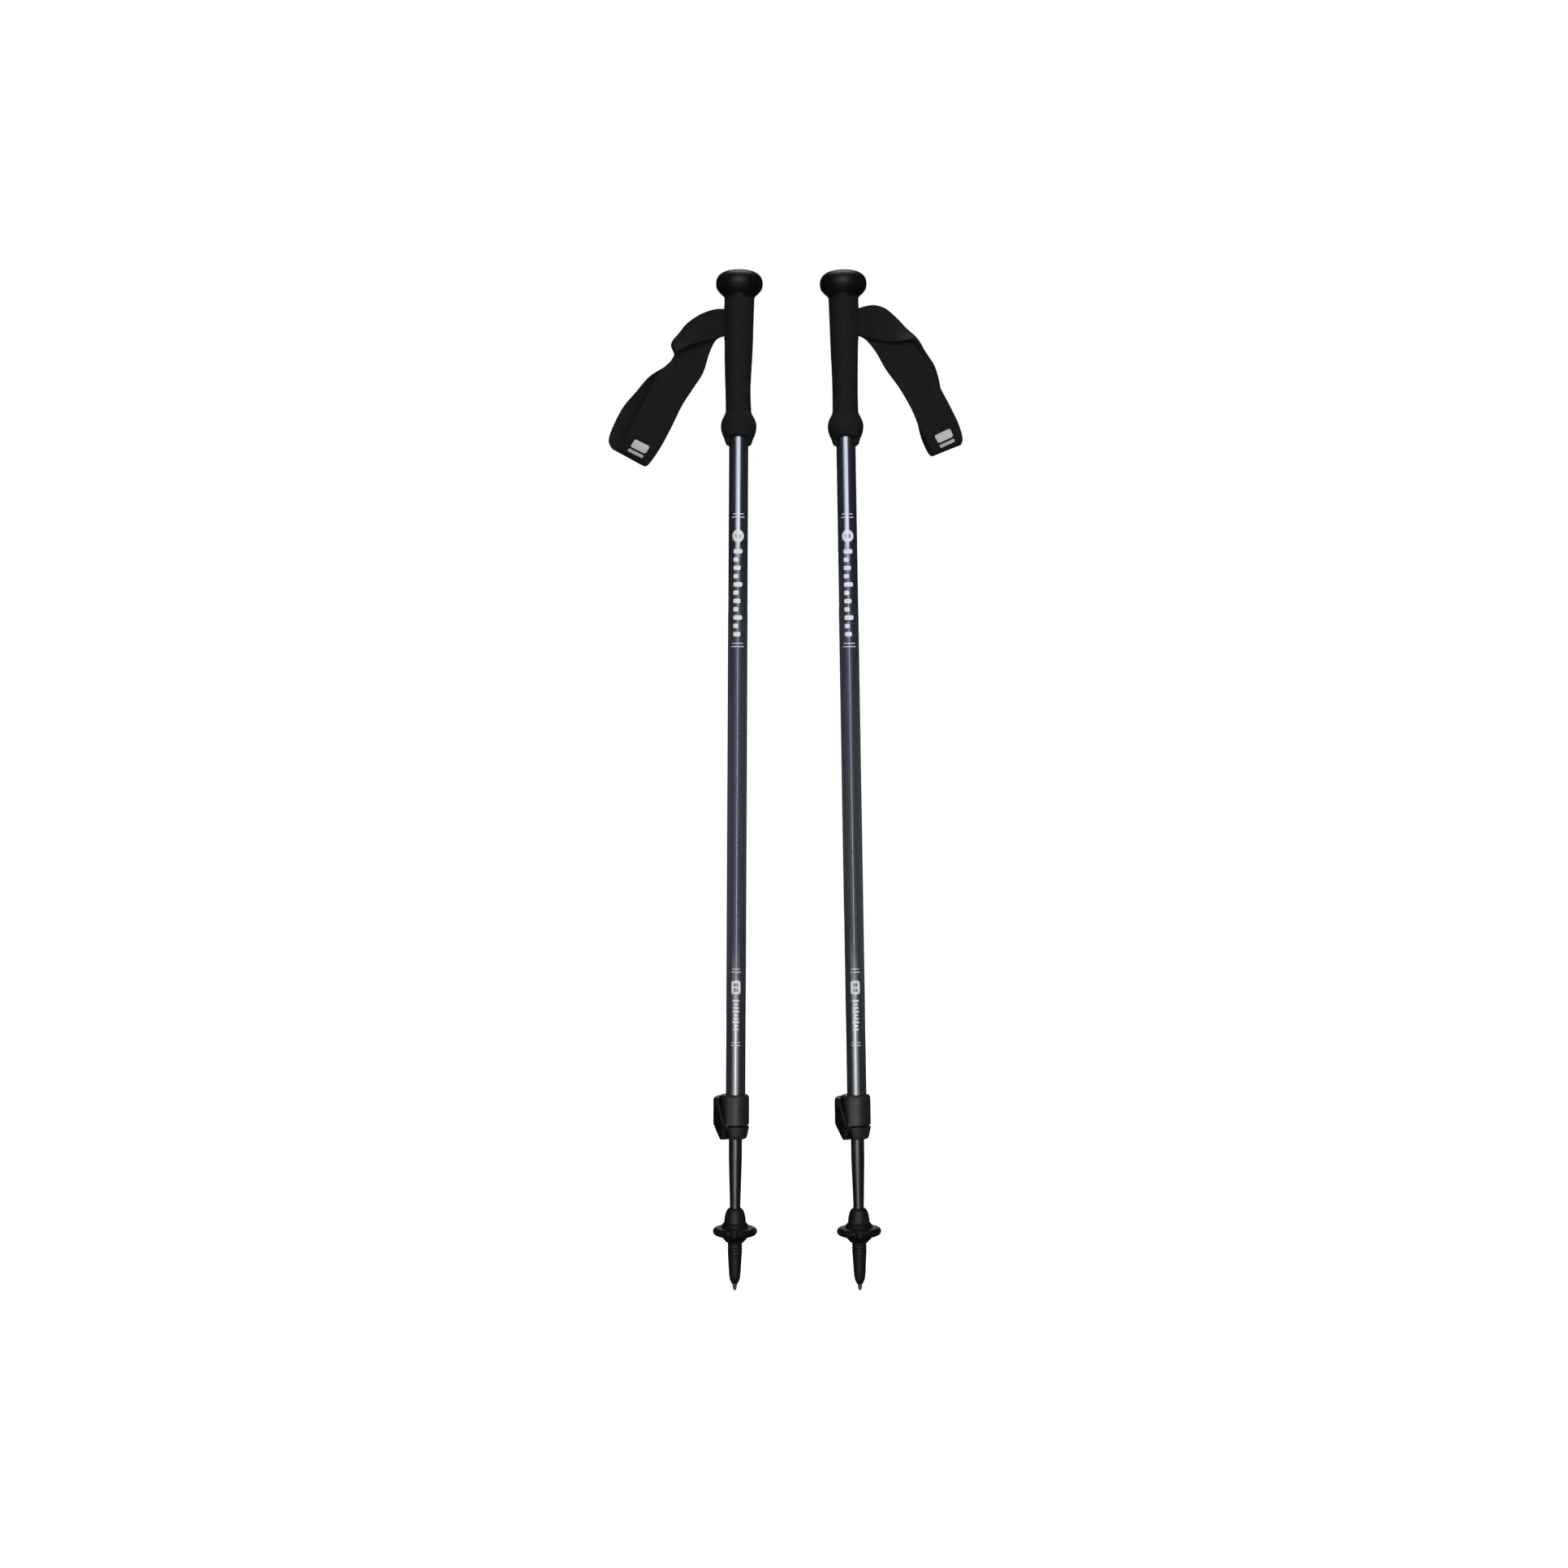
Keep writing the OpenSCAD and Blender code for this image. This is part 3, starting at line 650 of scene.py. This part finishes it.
class Ribbon:
    """The strap's middle surface, by distance along it in millimetres and u across it, -1 to 1."""

    def __init__(self, stations, side):
        self.a = [Vector((side * q[0], q[1], q[2])) for q, _ in stations]
        self.b = [Vector((side * q[0], q[1], q[2])) for _, q in stations]
        mid = [(a + b) / 2 for a, b in zip(self.a, self.b)]
        self.knots = [0.0]
        for i in range(len(mid) - 1):
            legs = [(r[i + 1] - r[i]).length for r in (self.a, self.b, mid)]
            self.knots.append(self.knots[-1] + sum(legs) / 3)
        self.t = [self.knots[-1] * k / FINE for k in range(FINE + 1)]
        self.s = [0.0]
        last = self.middle(0.0)
        for t in self.t[1:]:
            here = self.middle(t)
            self.s.append(self.s[-1] + (here - last).length)
            last = here
        self.length = self.s[-1]

    def middle(self, t):
        return (hermite(self.a, self.knots, t) + hermite(self.b, self.knots, t)) / 2

    def knot_at(self, s):
        s = min(max(s, 0.0), self.length)
        lo, hi = 0, len(self.s) - 1
        while hi - lo > 1:
            m = (lo + hi) // 2
            lo, hi = (m, hi) if self.s[m] <= s else (lo, m)
        f = (s - self.s[lo]) / max(self.s[hi] - self.s[lo], 1e-9)
        return self.t[lo] + f * (self.t[hi] - self.t[lo])

    def frame(self, s):
        """The middle, half the width and the direction along, at s."""
        t = self.knot_at(s)
        a, b = hermite(self.a, self.knots, t), hermite(self.b, self.knots, t)
        t0, t1 = self.knot_at(s - NEAR), self.knot_at(s + NEAR)
        return (a + b) / 2, (a - b) / 2, self.middle(t1) - self.middle(t0)

    def point(self, s, u, lift):
        """A point at s and u, lifted off the middle surface."""
        mid, half, along = self.frame(s)
        m0, h0, _ = self.frame(s - NEAR)
        m1, h1, _ = self.frame(s + NEAR)
        run = (m1 + h1 * u) - (m0 + h0 * u)
        off = run.cross(half)
        off = off.normalized() if off.length > 1e-9 else along.cross(half).normalized()
        return mid + half * u + off * lift


def strap_section():
    """The webbing's section as (u, lift) once round: flat, with a slightly thicker selvedge."""
    top = []
    for k in range(ACROSS + 1):
        u = -1 + 2 * k / ACROSS
        u = math.copysign(1 - (1 - abs(u)) ** FULLNESS, u) if u else 0.0
        edge = abs(u)
        lift = 1.0 + (RIDGE if RIDGE_FROM < edge < SELVEDGE else 0.0)
        if edge > SELVEDGE:
            lift *= math.sqrt(max(0.0, 1 - ((edge - SELVEDGE) / (1 - SELVEDGE)) ** 2)) * 0.8 + 0.2
        top.append((u, lift))
    return top + [(u, -lift) for u, lift in reversed(top)]


def build_strap(p):
    ribbon = Ribbon(LEFT_STRAP if p == "left" else RIGHT_STRAP, SIDE[p])
    section = strap_section()
    rows = int(ribbon.length / WEB_STEP)
    half = WEB_THICK / 2
    points, uvs, faces = [], [], []
    for i in range(rows + 1):
        s = ribbon.length * i / rows
        for u, lift in section:
            wave = WAVE * noise(Vector((s * 0.05, u * 1.5, 3.0 if p == "left" else 9.0)))
            points.append(ribbon.point(s, u, half * lift + wave))
            uvs.append(((u + 1) / 2, s))
    n = len(section)
    for i in range(rows):
        for k in range(n):
            j = (k + 1) % n
            faces.append((i * n + k, i * n + j, (i + 1) * n + j, (i + 1) * n + k))
    faces.append(tuple(range(n)))
    faces.append(tuple(rows * n + k for k in reversed(range(n))))
    strap = make_object(p + "_webbing", points, faces, p, MAT["webbing"], 60, uvs)
    turn_outward(strap)
    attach(strap, p + "_upper")
    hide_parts(p + "_strap")
    return ribbon, strap


# ---------------------------------------------------------------- printed marks


def printed(name, pole, body, where, shapes, material):
    """Thin printed marks. Each shape is (rows, left, right): left(v) and right(v) bound it at v."""
    points, faces = [], []
    for rows, left, right in shapes:
        columns = 7
        start = len(points)
        for v in rows:
            a, b = left(v), right(v)
            for k in range(columns + 1):
                points.append(where(a + (b - a) * k / columns, v))
        w = columns + 1
        for i in range(len(rows) - 1):
            for k in range(columns):
                q = start + i * w + k
                faces.append((q, q + 1, q + w + 1, q + w))
    obj = make_object(name, points, faces, pole, material, 60)
    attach(obj, body)
    return obj


def bar(u, v, width, height, corner=0.0, n=8):
    """A bar about (u, v) with rounded corners."""
    def half(y):
        over = abs(y - v) - (height / 2 - corner)
        if over <= 0 or corner == 0:
            return width / 2
        return width / 2 - corner + math.sqrt(max(0.0, corner ** 2 - over ** 2))
    rows = [v - height / 2 + height * k / n for k in range(n + 1)]
    return rows, lambda y: u - half(y), lambda y: u + half(y)


def ring(u, v, outer, inner, n=18):
    """A ring as a left and a right half."""
    def reach(r, y):
        return math.sqrt(max(0.0, r * r - (y - v) ** 2))
    rows = [v - outer * math.cos(math.pi * k / n) for k in range(n + 1)]
    return [
        (rows, lambda y: u - reach(outer, y), lambda y: u - reach(inner, y)),
        (rows, lambda y: u + reach(inner, y), lambda y: u + reach(outer, y)),
    ]


UPPER_R, PRINT_LIFT = 9.6, 0.04
# The plain lines above and below each group of marks, as (across, up, width, height)
LINES = [
    (0, 757.4, 13, 0.8), (0, 760.6, 11, 0.8), (0, 630.9, 13, 0.8), (0, 634.1, 11, 0.8),
    (0, 312.6, 9.5, 0.7), (0, 315.6, 8, 0.7), (0, 241.0, 9.5, 0.7), (0, 243.8, 8.6, 0.7),
]
# The small frame in the lower group, as (across, up, width, height, corner)
BADGE = [
    (-3.4, 297.6, 2.4, 13.4, 1.1), (3.4, 297.6, 2.4, 13.4, 1.1),
    (0, 303.1, 4.6, 2.4), (0, 297.6, 4.6, 1.6), (0, 292.1, 4.6, 2.4),
]
RING = (0, 739.0, 6.0, 2.6)  # across, up, outer and inner radius
BIG_BARS, BIG_TOP, BIG_PITCH, BIG_HEIGHT, BIG_WIDTHS = 11, 724.0, 8.1, 4.4, (9.0, 5.2, 7.2, 5.2)
SMALL_BARS, SMALL_TOP, SMALL_PITCH, SMALL_HEIGHT, SMALL_WIDTHS = 9, 284.6, 3.5, 1.9, (6.6, 4.6, 5.6)


def on_shaft(u, v):
    """A point on the front of the upper tube: u across along the surface, v up."""
    r, a = UPPER_R + PRINT_LIFT, u / UPPER_R
    return r * math.sin(a), -r * math.cos(a), v


def build_prints(p):
    marks = [bar(*q) for q in LINES + BADGE] + ring(*RING)
    for k in range(BIG_BARS):
        width = BIG_WIDTHS[k % len(BIG_WIDTHS)]
        across = (width - BIG_WIDTHS[0]) / 2
        marks.append(bar(across, BIG_TOP - BIG_PITCH * k, width, BIG_HEIGHT, 1.2))
    for k in range(SMALL_BARS):
        width = SMALL_WIDTHS[k % len(SMALL_WIDTHS)]
        marks.append(bar(0, SMALL_TOP - SMALL_PITCH * k, width, SMALL_HEIGHT, 0.5, 4))
    printed(p + "_shaft_print", p, p + "_upper", on_shaft, marks, MAT["print"])


FILM_LIFT = 0.14
# The film's bar and patch: along from the mark's middle, width, height, corner and rows
FILM = ((-5.6, 15.5, 3.0, 0.7, 8), (2.2, 15.5, 8.6, 1.8, 14))
FILM_ABOVE_FOLD = 13.5


def build_strap_mark(p, ribbon, strap):
    """A plain reflective film patch near the bottom of the strap's front."""
    def where(u, v):
        return ribbon.point(v, u / (WEB_WIDTH / 2), lift)
    # The front layer comes up from the fold at the loop's lowest point
    low = min(range(len(ribbon.s)), key=lambda i: ribbon.middle(ribbon.t[i]).z)
    centre = ribbon.s[low] + FILM_ABOVE_FOLD
    outward = ribbon.point(centre, 0, 1) - ribbon.point(centre, 0, 0)
    lift = math.copysign(WEB_THICK / 2 + FILM_LIFT, -outward.y)
    shapes = [bar(0, centre + along, *rest) for along, *rest in FILM]
    mark = printed(p + "_strap_mark", p, p + "_upper", where, shapes, MAT["film"])


# ---------------------------------------------------------------- lock


# In millimetres in the pole's frame: heights of the clamp ring and the barrel
LOCK_LOW, CLAMP_TOP, BARREL_LOW, BARREL_TOP, SHOULDER = 148.7, 161.0, 162.5, 192.4, 4.0
# The barrel is a turned shape of BARREL_R and another of SWELL_R about SWELL_X
BARREL_R, SWELL_X, SWELL_R, WEB_BACK = 13.4, -3.2, 12.6, 10.2
CLAMP_R, CLAMP_TAPER, CLAMP_EDGE, CLAMP_LEFT = 13.6, 0.2, 1.6, -7.0
CHEEK_LEFT, CHEEK_DEEP, CHEEK_FRONT, CHEEK_TALL = -9.3, -8.6, -12.0, 5.15
# The lever's outside is turned about HANDLE_X, and its liner clears the barrel by SWING_GAP
HANDLE_X, HANDLE_R, HANDLE_LOW, HANDLE_TOP, SWING_GAP = -3.4, 18.5, 150.2, 189.7, 0.38
CORNER_R, CORNER_X, CORNER_WIDE = 3.4, -15.5, 6.0  # the rounding of the lever's upper outer corner
# The outline of the fin behind the lever's end, seen from above
FIN = ((-11.0, 7.4), (-15.4, 8.2), (-17.6, 9.5), (-17.3, 10.6), (-14.6, 10.2), (-10.0, 9.6))
# The rest of the skin's section, from the handle's face in to the pivot, as (x, how far behind the
# face, y): the second where the curved edge ends the face early, and y where it reaches the pivot
SKIN_BESIDE = (
    (-12.1, 0.9, -15.7), (-10.9, 1.6, -14.4), (-9.75, 2.4, -13.6), (-9.5, 3.2, -12.4),
    (-10.1, 4.0, -11.0), (-11.6, 4.8, -10.3), (-15.0, 5.6, -8.2),
)
SKIN_BELOW = (
    (-11.3, 0.9, -16.75), (-9.4, 1.6, -16.3), (-7.75, 2.4, -14.6), (-7.05, 3.2, -12.4),
    (-7.8, 4.0, -10.1), (-9.6, 4.8, -8.4), (-15.0, 5.6, -8.2),
)
SKIN_LEFT, SKIN_RIGHT, BARE_SPAN = -21.85, -12.9, 3.2


def barrel_web(side):
    """Fills the crease in the barrel between its two turned shapes, on the front or on the back."""
    tilt = (SWELL_R - BARREL_R) / SWELL_X
    level = math.sqrt(1 - tilt ** 2)
    rings = []
    for k in range(13):
        z = BARREL_LOW + 0.1 + (BARREL_TOP - 0.3 - BARREL_LOW) * k / 12
        rise = max(0.0, z - (BARREL_TOP - SHOULDER))
        inset = SHOULDER - math.sqrt(SHOULDER ** 2 - rise ** 2)
        big, small = BARREL_R - inset, SWELL_R - inset
        outline = ((-big * tilt, WEB_BACK), (-big * tilt, big * level),
                   (SWELL_X - small * tilt, small * level), (SWELL_X - small * tilt, WEB_BACK))
        rings.append([(x, side * y, z) for x, y in outline])
    return rings


def cheek():
    """A rib on the barrel's foot, which carries the curve of the lever's edge on down to the clamp."""
    rings = []
    for k in range(16):
        z = CLAMP_TOP + 0.15 + CHEEK_TALL * k / 15
        right = max(handle_edge(z) + 0.5, CHEEK_LEFT + 0.5)
        rings.append([
            (CHEEK_LEFT, CHEEK_DEEP, z), (CHEEK_LEFT, CHEEK_FRONT + 0.3, z),
            (CHEEK_LEFT + 0.2, CHEEK_FRONT + 0.1, z), (right - 0.2, CHEEK_FRONT, z),
            (right + 0.3, CHEEK_FRONT + 0.1, z), (right + 1.6, CHEEK_DEEP, z),
        ])
    return rings


def guard():
    """A fin on the barrel's back, behind the end of the closed lever."""
    return [[(x, y, z) for x, y in FIN] for z in (BARREL_LOW + 0.8, BARREL_TOP - 2.6)]


def round_clamp(v):
    """Tapers the clamp ring below the slit and rounds its lower edge."""
    low = CLAMP_TOP - v.z
    r = math.hypot(v.x, v.y)
    edge = max(0.0, CLAMP_EDGE - (v.z - LOCK_LOW))
    reach = CLAMP_R - CLAMP_TAPER * low - CLAMP_EDGE
    reach += math.sqrt(max(0.0, CLAMP_EDGE ** 2 - edge ** 2))
    if low > 0 and v.x > CLAMP_LEFT and r > reach:
        v = Vector((v.x * reach / r, v.y * reach / r, v.z))
    return v


def handle_edge(z):
    """The lever's curved front edge: how far along X it is cut back at this height."""
    return EDGE_X - math.sqrt(EDGE_R ** 2 - (z - EDGE_Z) ** 2)


def handle_skin():
    """The lever's outer skin, which runs from the handle round to the pivot in one curve. Beside the
    barrel it stays close to the pivot, so that it swings clear, and below the barrel it is fuller."""
    rings = []
    for i in range(61):
        z = HANDLE_LOW + (HANDLE_TOP - HANDLE_LOW) * i / 60
        edge, slope = handle_edge(z) + 0.35, -15.1 - 0.51 * (z - 150.5)
        start, end = max(SKIN_LEFT, slope), min(SKIN_RIGHT, edge - 1.3)
        ring = []
        for k in range(9):
            x = start + (end - start) * k / 8
            ring.append((x, -math.sqrt(HANDLE_R ** 2 - (x - HANDLE_X) ** 2)))
        y = ring[-1][1]
        bare = min(max((edge - SKIN_RIGHT) / BARE_SPAN, 0.0), 1.0)
        for x, near, far in SKIN_BELOW if z < CLAMP_TOP - 0.6 else SKIN_BESIDE:
            ring.append((max(min(x, edge), slope), (y + near) * (1 - bare) + far * bare))
        ring += [(max(-17.3, slope), -5.0), (max(-17.5, slope), -2.5)]
        rings.append([(*q, z) for q in ring])
    return rings


def handle_liner():
    """Closes the gap between the handle and the barrel."""
    rings = []
    for i in range(21):
        z = BARREL_LOW + 1.0 + (HANDLE_TOP - 0.5 - BARREL_LOW) * i / 20
        inner = []
        for k in range(13):
            y = -7.0 + 12.5 * k / 12
            x = SWELL_X - math.sqrt((SWELL_R + SWING_GAP) ** 2 - y * y)
            inner.append((x if y > -3.0 else min(x, handle_edge(z) + 0.1), y, z))
        rings.append(inner + [(-18.4, 5.5, z), (-19.0, 0.0, z), (-18.0, -7.0, z)])
    return rings


def round_handle(v):
    """Rounds the handle's upper and outer corner."""
    over = v.z - (HANDLE_TOP + 0.1 - CORNER_R)
    if over > 0 and v.x < CORNER_X:
        share = min(1.0, (CORNER_X - v.x) / CORNER_WIDE)
        inset = CORNER_R - math.sqrt(max(0.0, CORNER_R ** 2 - over ** 2))
        v = v + Vector((share * inset * 0.8, 0, 0))
    return v


def build_lock(p):
    webs = [barrel_web(-1), barrel_web(1), cheek(), guard()]
    body = soft_copy(p + "_lock_shell", p + "_lock_body", p, MAT["lock"], 0.3, 4, round_clamp, webs)
    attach(body, p + "_upper")
    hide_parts(p + "_lock_body")
    skins = [handle_skin(), handle_liner()]
    plastic = MAT["lever_" + p]
    lever = soft_copy(p + "_lever", p + "_lock_lever", p, plastic, 0.3, 4, round_handle, skins)
    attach(lever, p + "_lever")
    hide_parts(p + "_lock_lever")


# ---------------------------------------------------------------- tip


THREAD_LOW, THREAD_HIGH, THREAD_PITCH, THREAD_R, THREAD = 35.5, 46.8, 3.0, 6.5, 0.5
# The ferrule's outside from the point's seat up, over the top and down the bore, as (r, z)
FERRULE = [
    (1.9, 6.4), (3.0, 6.4), (3.35, 6.9), (4.9, 10.2), (5.35, 12.4), (5.75, 16), (6.0, 19),
    (6.2, 24), (6.55, 29), (6.85, 34.8), *((6.88, 34.8 + 0.3 * k) for k in range(1, 41)),
    (7.4, 47.2), (7.4, 66.2), (10.5, 66.2), (10.75, 66.5), (10.62, 68.5), (10.35, 71),
    (9.75, 74.0), (9.0, 76.4), (8.2, 78.2), (7.3, 79.4), (6.3, 80.2), (5.5, 80.5), (5.3, 80.3),
    (5.3, 57.5), (0, 57.5),
]


def thread(r, z, a):
    """The ferrule's radius, with the basket's thread."""
    if THREAD_LOW < z < THREAD_HIGH and r > THREAD_R:
        turn = ((z - THREAD_LOW) / THREAD_PITCH - a / (2 * math.pi)) % 1.0
        ends = min(1.0, (z - THREAD_LOW) / 1.5, (THREAD_HIGH - z) / 0.8)
        return r + THREAD * max(0.0, math.cos(2 * math.pi * (turn - 0.5))) ** 1.5 * max(0.0, ends)
    return r


def build_tip(p):
    basket = soft_copy(p + "_trek_basket", p + "_basket", p, MAT["basket"], 0.4, 4)
    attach(basket, p + "_lower")
    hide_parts(p + "_basket")
    ferrule = lathe(p + "_ferrule", p, FERRULE, MAT["tip"], 96, thread, 42)
    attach(ferrule, p + "_lower")
    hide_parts(p + "_tip_ferrule")


for p in POLES:
    build_knob(p)
    build_foam(p)
    ribbon, strap = build_strap(p)
    build_strap_mark(p, ribbon, strap)
    build_prints(p)
    build_lock(p)
    build_tip(p)

# ---------------------------------------------------------------- stage, lights and camera


FLOOR_SIZE, FLOOR_Z = 30.0, -0.0006
SKY, SHOWN_SKY = 0.2, 1.01  # the room's glow on the poles, and the backdrop that the camera sees


def flat(name, size, place, material):
    mesh = bpy.data.meshes.new(name)
    h = size / 2
    mesh.from_pydata([(-h, -h, 0), (h, -h, 0), (h, h, 0), (-h, h, 0)], [], [(0, 1, 2, 3)])
    obj = bpy.data.objects.new(name, mesh)
    bpy.context.scene.collection.objects.link(obj)
    obj.location = place
    mesh.materials.append(material)
    return obj


floor_graph = Graph("floor", Base_Color=(0.6, 0.6, 0.6, 1), Roughness=0.9, Specular_IOR_Level=0.0,
                    Emission_Color=(1, 1, 1, 1), Emission_Strength=0.9)
floor = flat("floor", FLOOR_SIZE, (0, 0, FLOOR_Z), floor_graph.material)
floor.visible_glossy = False
floor.visible_diffuse = False

world = bpy.data.worlds.new("studio")
bpy.context.scene.world = world
world.use_nodes = True
tree = world.node_tree
tree.nodes.clear()


def backdrop(strength, tint=(1, 1, 1)):
    shader = tree.nodes.new("ShaderNodeBackground")
    shader.inputs["Color"].default_value = (*tint, 1)
    if isinstance(strength, bpy.types.NodeSocket):
        tree.links.new(strength, shader.inputs["Strength"])
    else:
        shader.inputs["Strength"].default_value = strength
    return shader.outputs[0]


def pick(factor, off, on):
    mix = tree.nodes.new("ShaderNodeMixShader")
    for socket, value in zip(mix.inputs, (factor, off, on)):
        tree.links.new(value, socket)
    return mix.outputs[0]


def fade(value, low, high, to_low, to_high):
    node = tree.nodes.new("ShaderNodeMapRange")
    node.interpolation_type = "SMOOTHSTEP"
    for key, number in ((1, low), (2, high), (3, to_low), (4, to_high)):
        node.inputs[key].default_value = number
    tree.links.new(value, node.inputs[0])
    return node.outputs[0]


def times(a, b):
    node = tree.nodes.new("ShaderNodeMath")
    node.operation = "MULTIPLY"
    tree.links.new(a, node.inputs[0])
    tree.links.new(b, node.inputs[1])
    return node.outputs[0]


# What shiny surfaces mirror: pale walls at the camera's height, dark above, below and behind
way = tree.nodes.new("ShaderNodeSeparateXYZ")
tree.links.new(tree.nodes.new("ShaderNodeTexCoord").outputs["Generated"], way.inputs[0])
walls = times(fade(way.outputs[2], 0.02, 0.11, 0.68, 0.05), fade(way.outputs[2], -0.13, -0.03, 0.2, 1.0))
walls = times(walls, fade(way.outputs[1], 0.2, 0.85, 1.0, 0.1))
walls = times(walls, fade(way.outputs[1], -0.92, -0.5, 0.6, 1.0))
rays = tree.nodes.new("ShaderNodeLightPath")
glossy = pick(rays.outputs["Is Glossy Ray"], backdrop(SKY), backdrop(walls, (0.8, 0.89, 1.0)))
shown = pick(rays.outputs["Is Camera Ray"], glossy, backdrop(SHOWN_SKY))
tree.links.new(shown, tree.nodes.new("ShaderNodeOutputWorld").inputs[0])


WHITE, COOL = (1, 1, 1), (0.88, 0.94, 1.0)


def area_light(name, place, target, width, height, power, gloss=True, spread=True, tint=WHITE):
    """A softbox. gloss is whether it shows in glossy surfaces, spread whether it lights matt ones."""
    light = bpy.data.lights.new(name, "AREA")
    light.shape = "RECTANGLE"
    light.size, light.size_y = width, height
    light.energy = power
    light.color = tint
    obj = bpy.data.objects.new(name, light)
    bpy.context.scene.collection.objects.link(obj)
    obj.location = place
    obj.rotation_mode = "QUATERNION"
    obj.rotation_quaternion = (Vector(target) - Vector(place)).to_track_quat("-Z", "Y")
    obj.visible_camera = False
    obj.visible_glossy = gloss
    obj.visible_diffuse = spread
    return obj


MIDDLE_X = 0.0481  # the middle of the view
CENTRE = (MIDDLE_X, 0, 0.5)
LAYER = 0.02  # each light of a bank stands this far in front of the one below it
HIGH_Y, HIGH_Z, HIGH_BANK = -1.9, 1.42, ((-1.3, 0.68, 4.2), (-0.86, 0.66, 4.2), (-0.46, 0.63, 4.8))
LOW_X, LOW_Y, LOW_Z = MIDDLE_X - 0.08, -0.8, 0.05
LOW_BANK = ((1.5, 0.42, 1.1), (0.85, 0.36, 2.6), (0.26, 0.3, 10.0))


def softbox(name, place, target, width, height, shine, tint=COOL):
    """A light that only shows as a highlight. shine is its radiance."""
    power = shine * math.pi * width * height
    area_light(name, place, target, width, height, power, spread=False, tint=tint)


# Highlights on the tubes: a stepped bank up high, a slim strip in the middle and a bank down low
for k, (left, right, shine) in enumerate(HIGH_BANK):
    x = MIDDLE_X + (left + right) / 2
    softbox("high_%d" % k, (x, HIGH_Y + LAYER * k, HIGH_Z), (x, 0, HIGH_Z), right - left, 1.0, shine)
softbox("middle", (MIDDLE_X + 0.01, -2.3, 0.5), CENTRE, 0.09, 1.2, 20.0, WHITE)
for k, (width, height, shine) in enumerate(LOW_BANK):
    place = (LOW_X, LOW_Y + LAYER * k, LOW_Z)
    softbox("low_%d" % k, place, (MIDDLE_X, 0, LOW_Z), width, height, shine, WHITE)
area_light("overhead", (MIDDLE_X, 0.1, 2.3), (MIDDLE_X, 0, 0.9), 1.0, 0.7, 14)
softbox("crown", (MIDDLE_X, 0.5, 2.25), (MIDDLE_X, 0, 0.97), 0.9, 0.4, 9.0)
softbox("behind_low", (MIDDLE_X, 2.4, -0.02), (MIDDLE_X, 0, -0.02), 0.5, 0.5, 4.0)
softbox("behind_high", (MIDDLE_X, 2.4, 1.4), (MIDDLE_X, 0, 1.4), 1.0, 1.1, 5.0)
area_light("fill_behind", (MIDDLE_X, 2.6, 0.7), CENTRE, 1.4, 1.4, 14, gloss=False)
# Soft fill from the front
area_light("fill_right", (1.3, -1.9, 0.9), CENTRE, 1.2, 1.4, 25, gloss=False)
area_light("fill_left", (-1.5, -1.7, 0.7), CENTRE, 1.2, 1.4, 7, gloss=False)

LENS_ANGLE, LENS_X, LENS_Y, LENS_Z = 38.5, MIDDLE_X + 0.0003, -2.2035, 0.4965
camera = bpy.data.cameras.new("camera")
view = bpy.data.objects.new("camera", camera)
bpy.context.scene.collection.objects.link(view)
camera.sensor_width = 36.0
camera.angle = math.radians(LENS_ANGLE)
view.location = (LENS_X, LENS_Y, LENS_Z)
view.rotation_euler = (math.radians(90), 0, 0)
camera.clip_start, camera.clip_end = 0.05, 50
bpy.context.scene.camera = view
bpy.context.scene.view_settings.view_transform = "Standard"
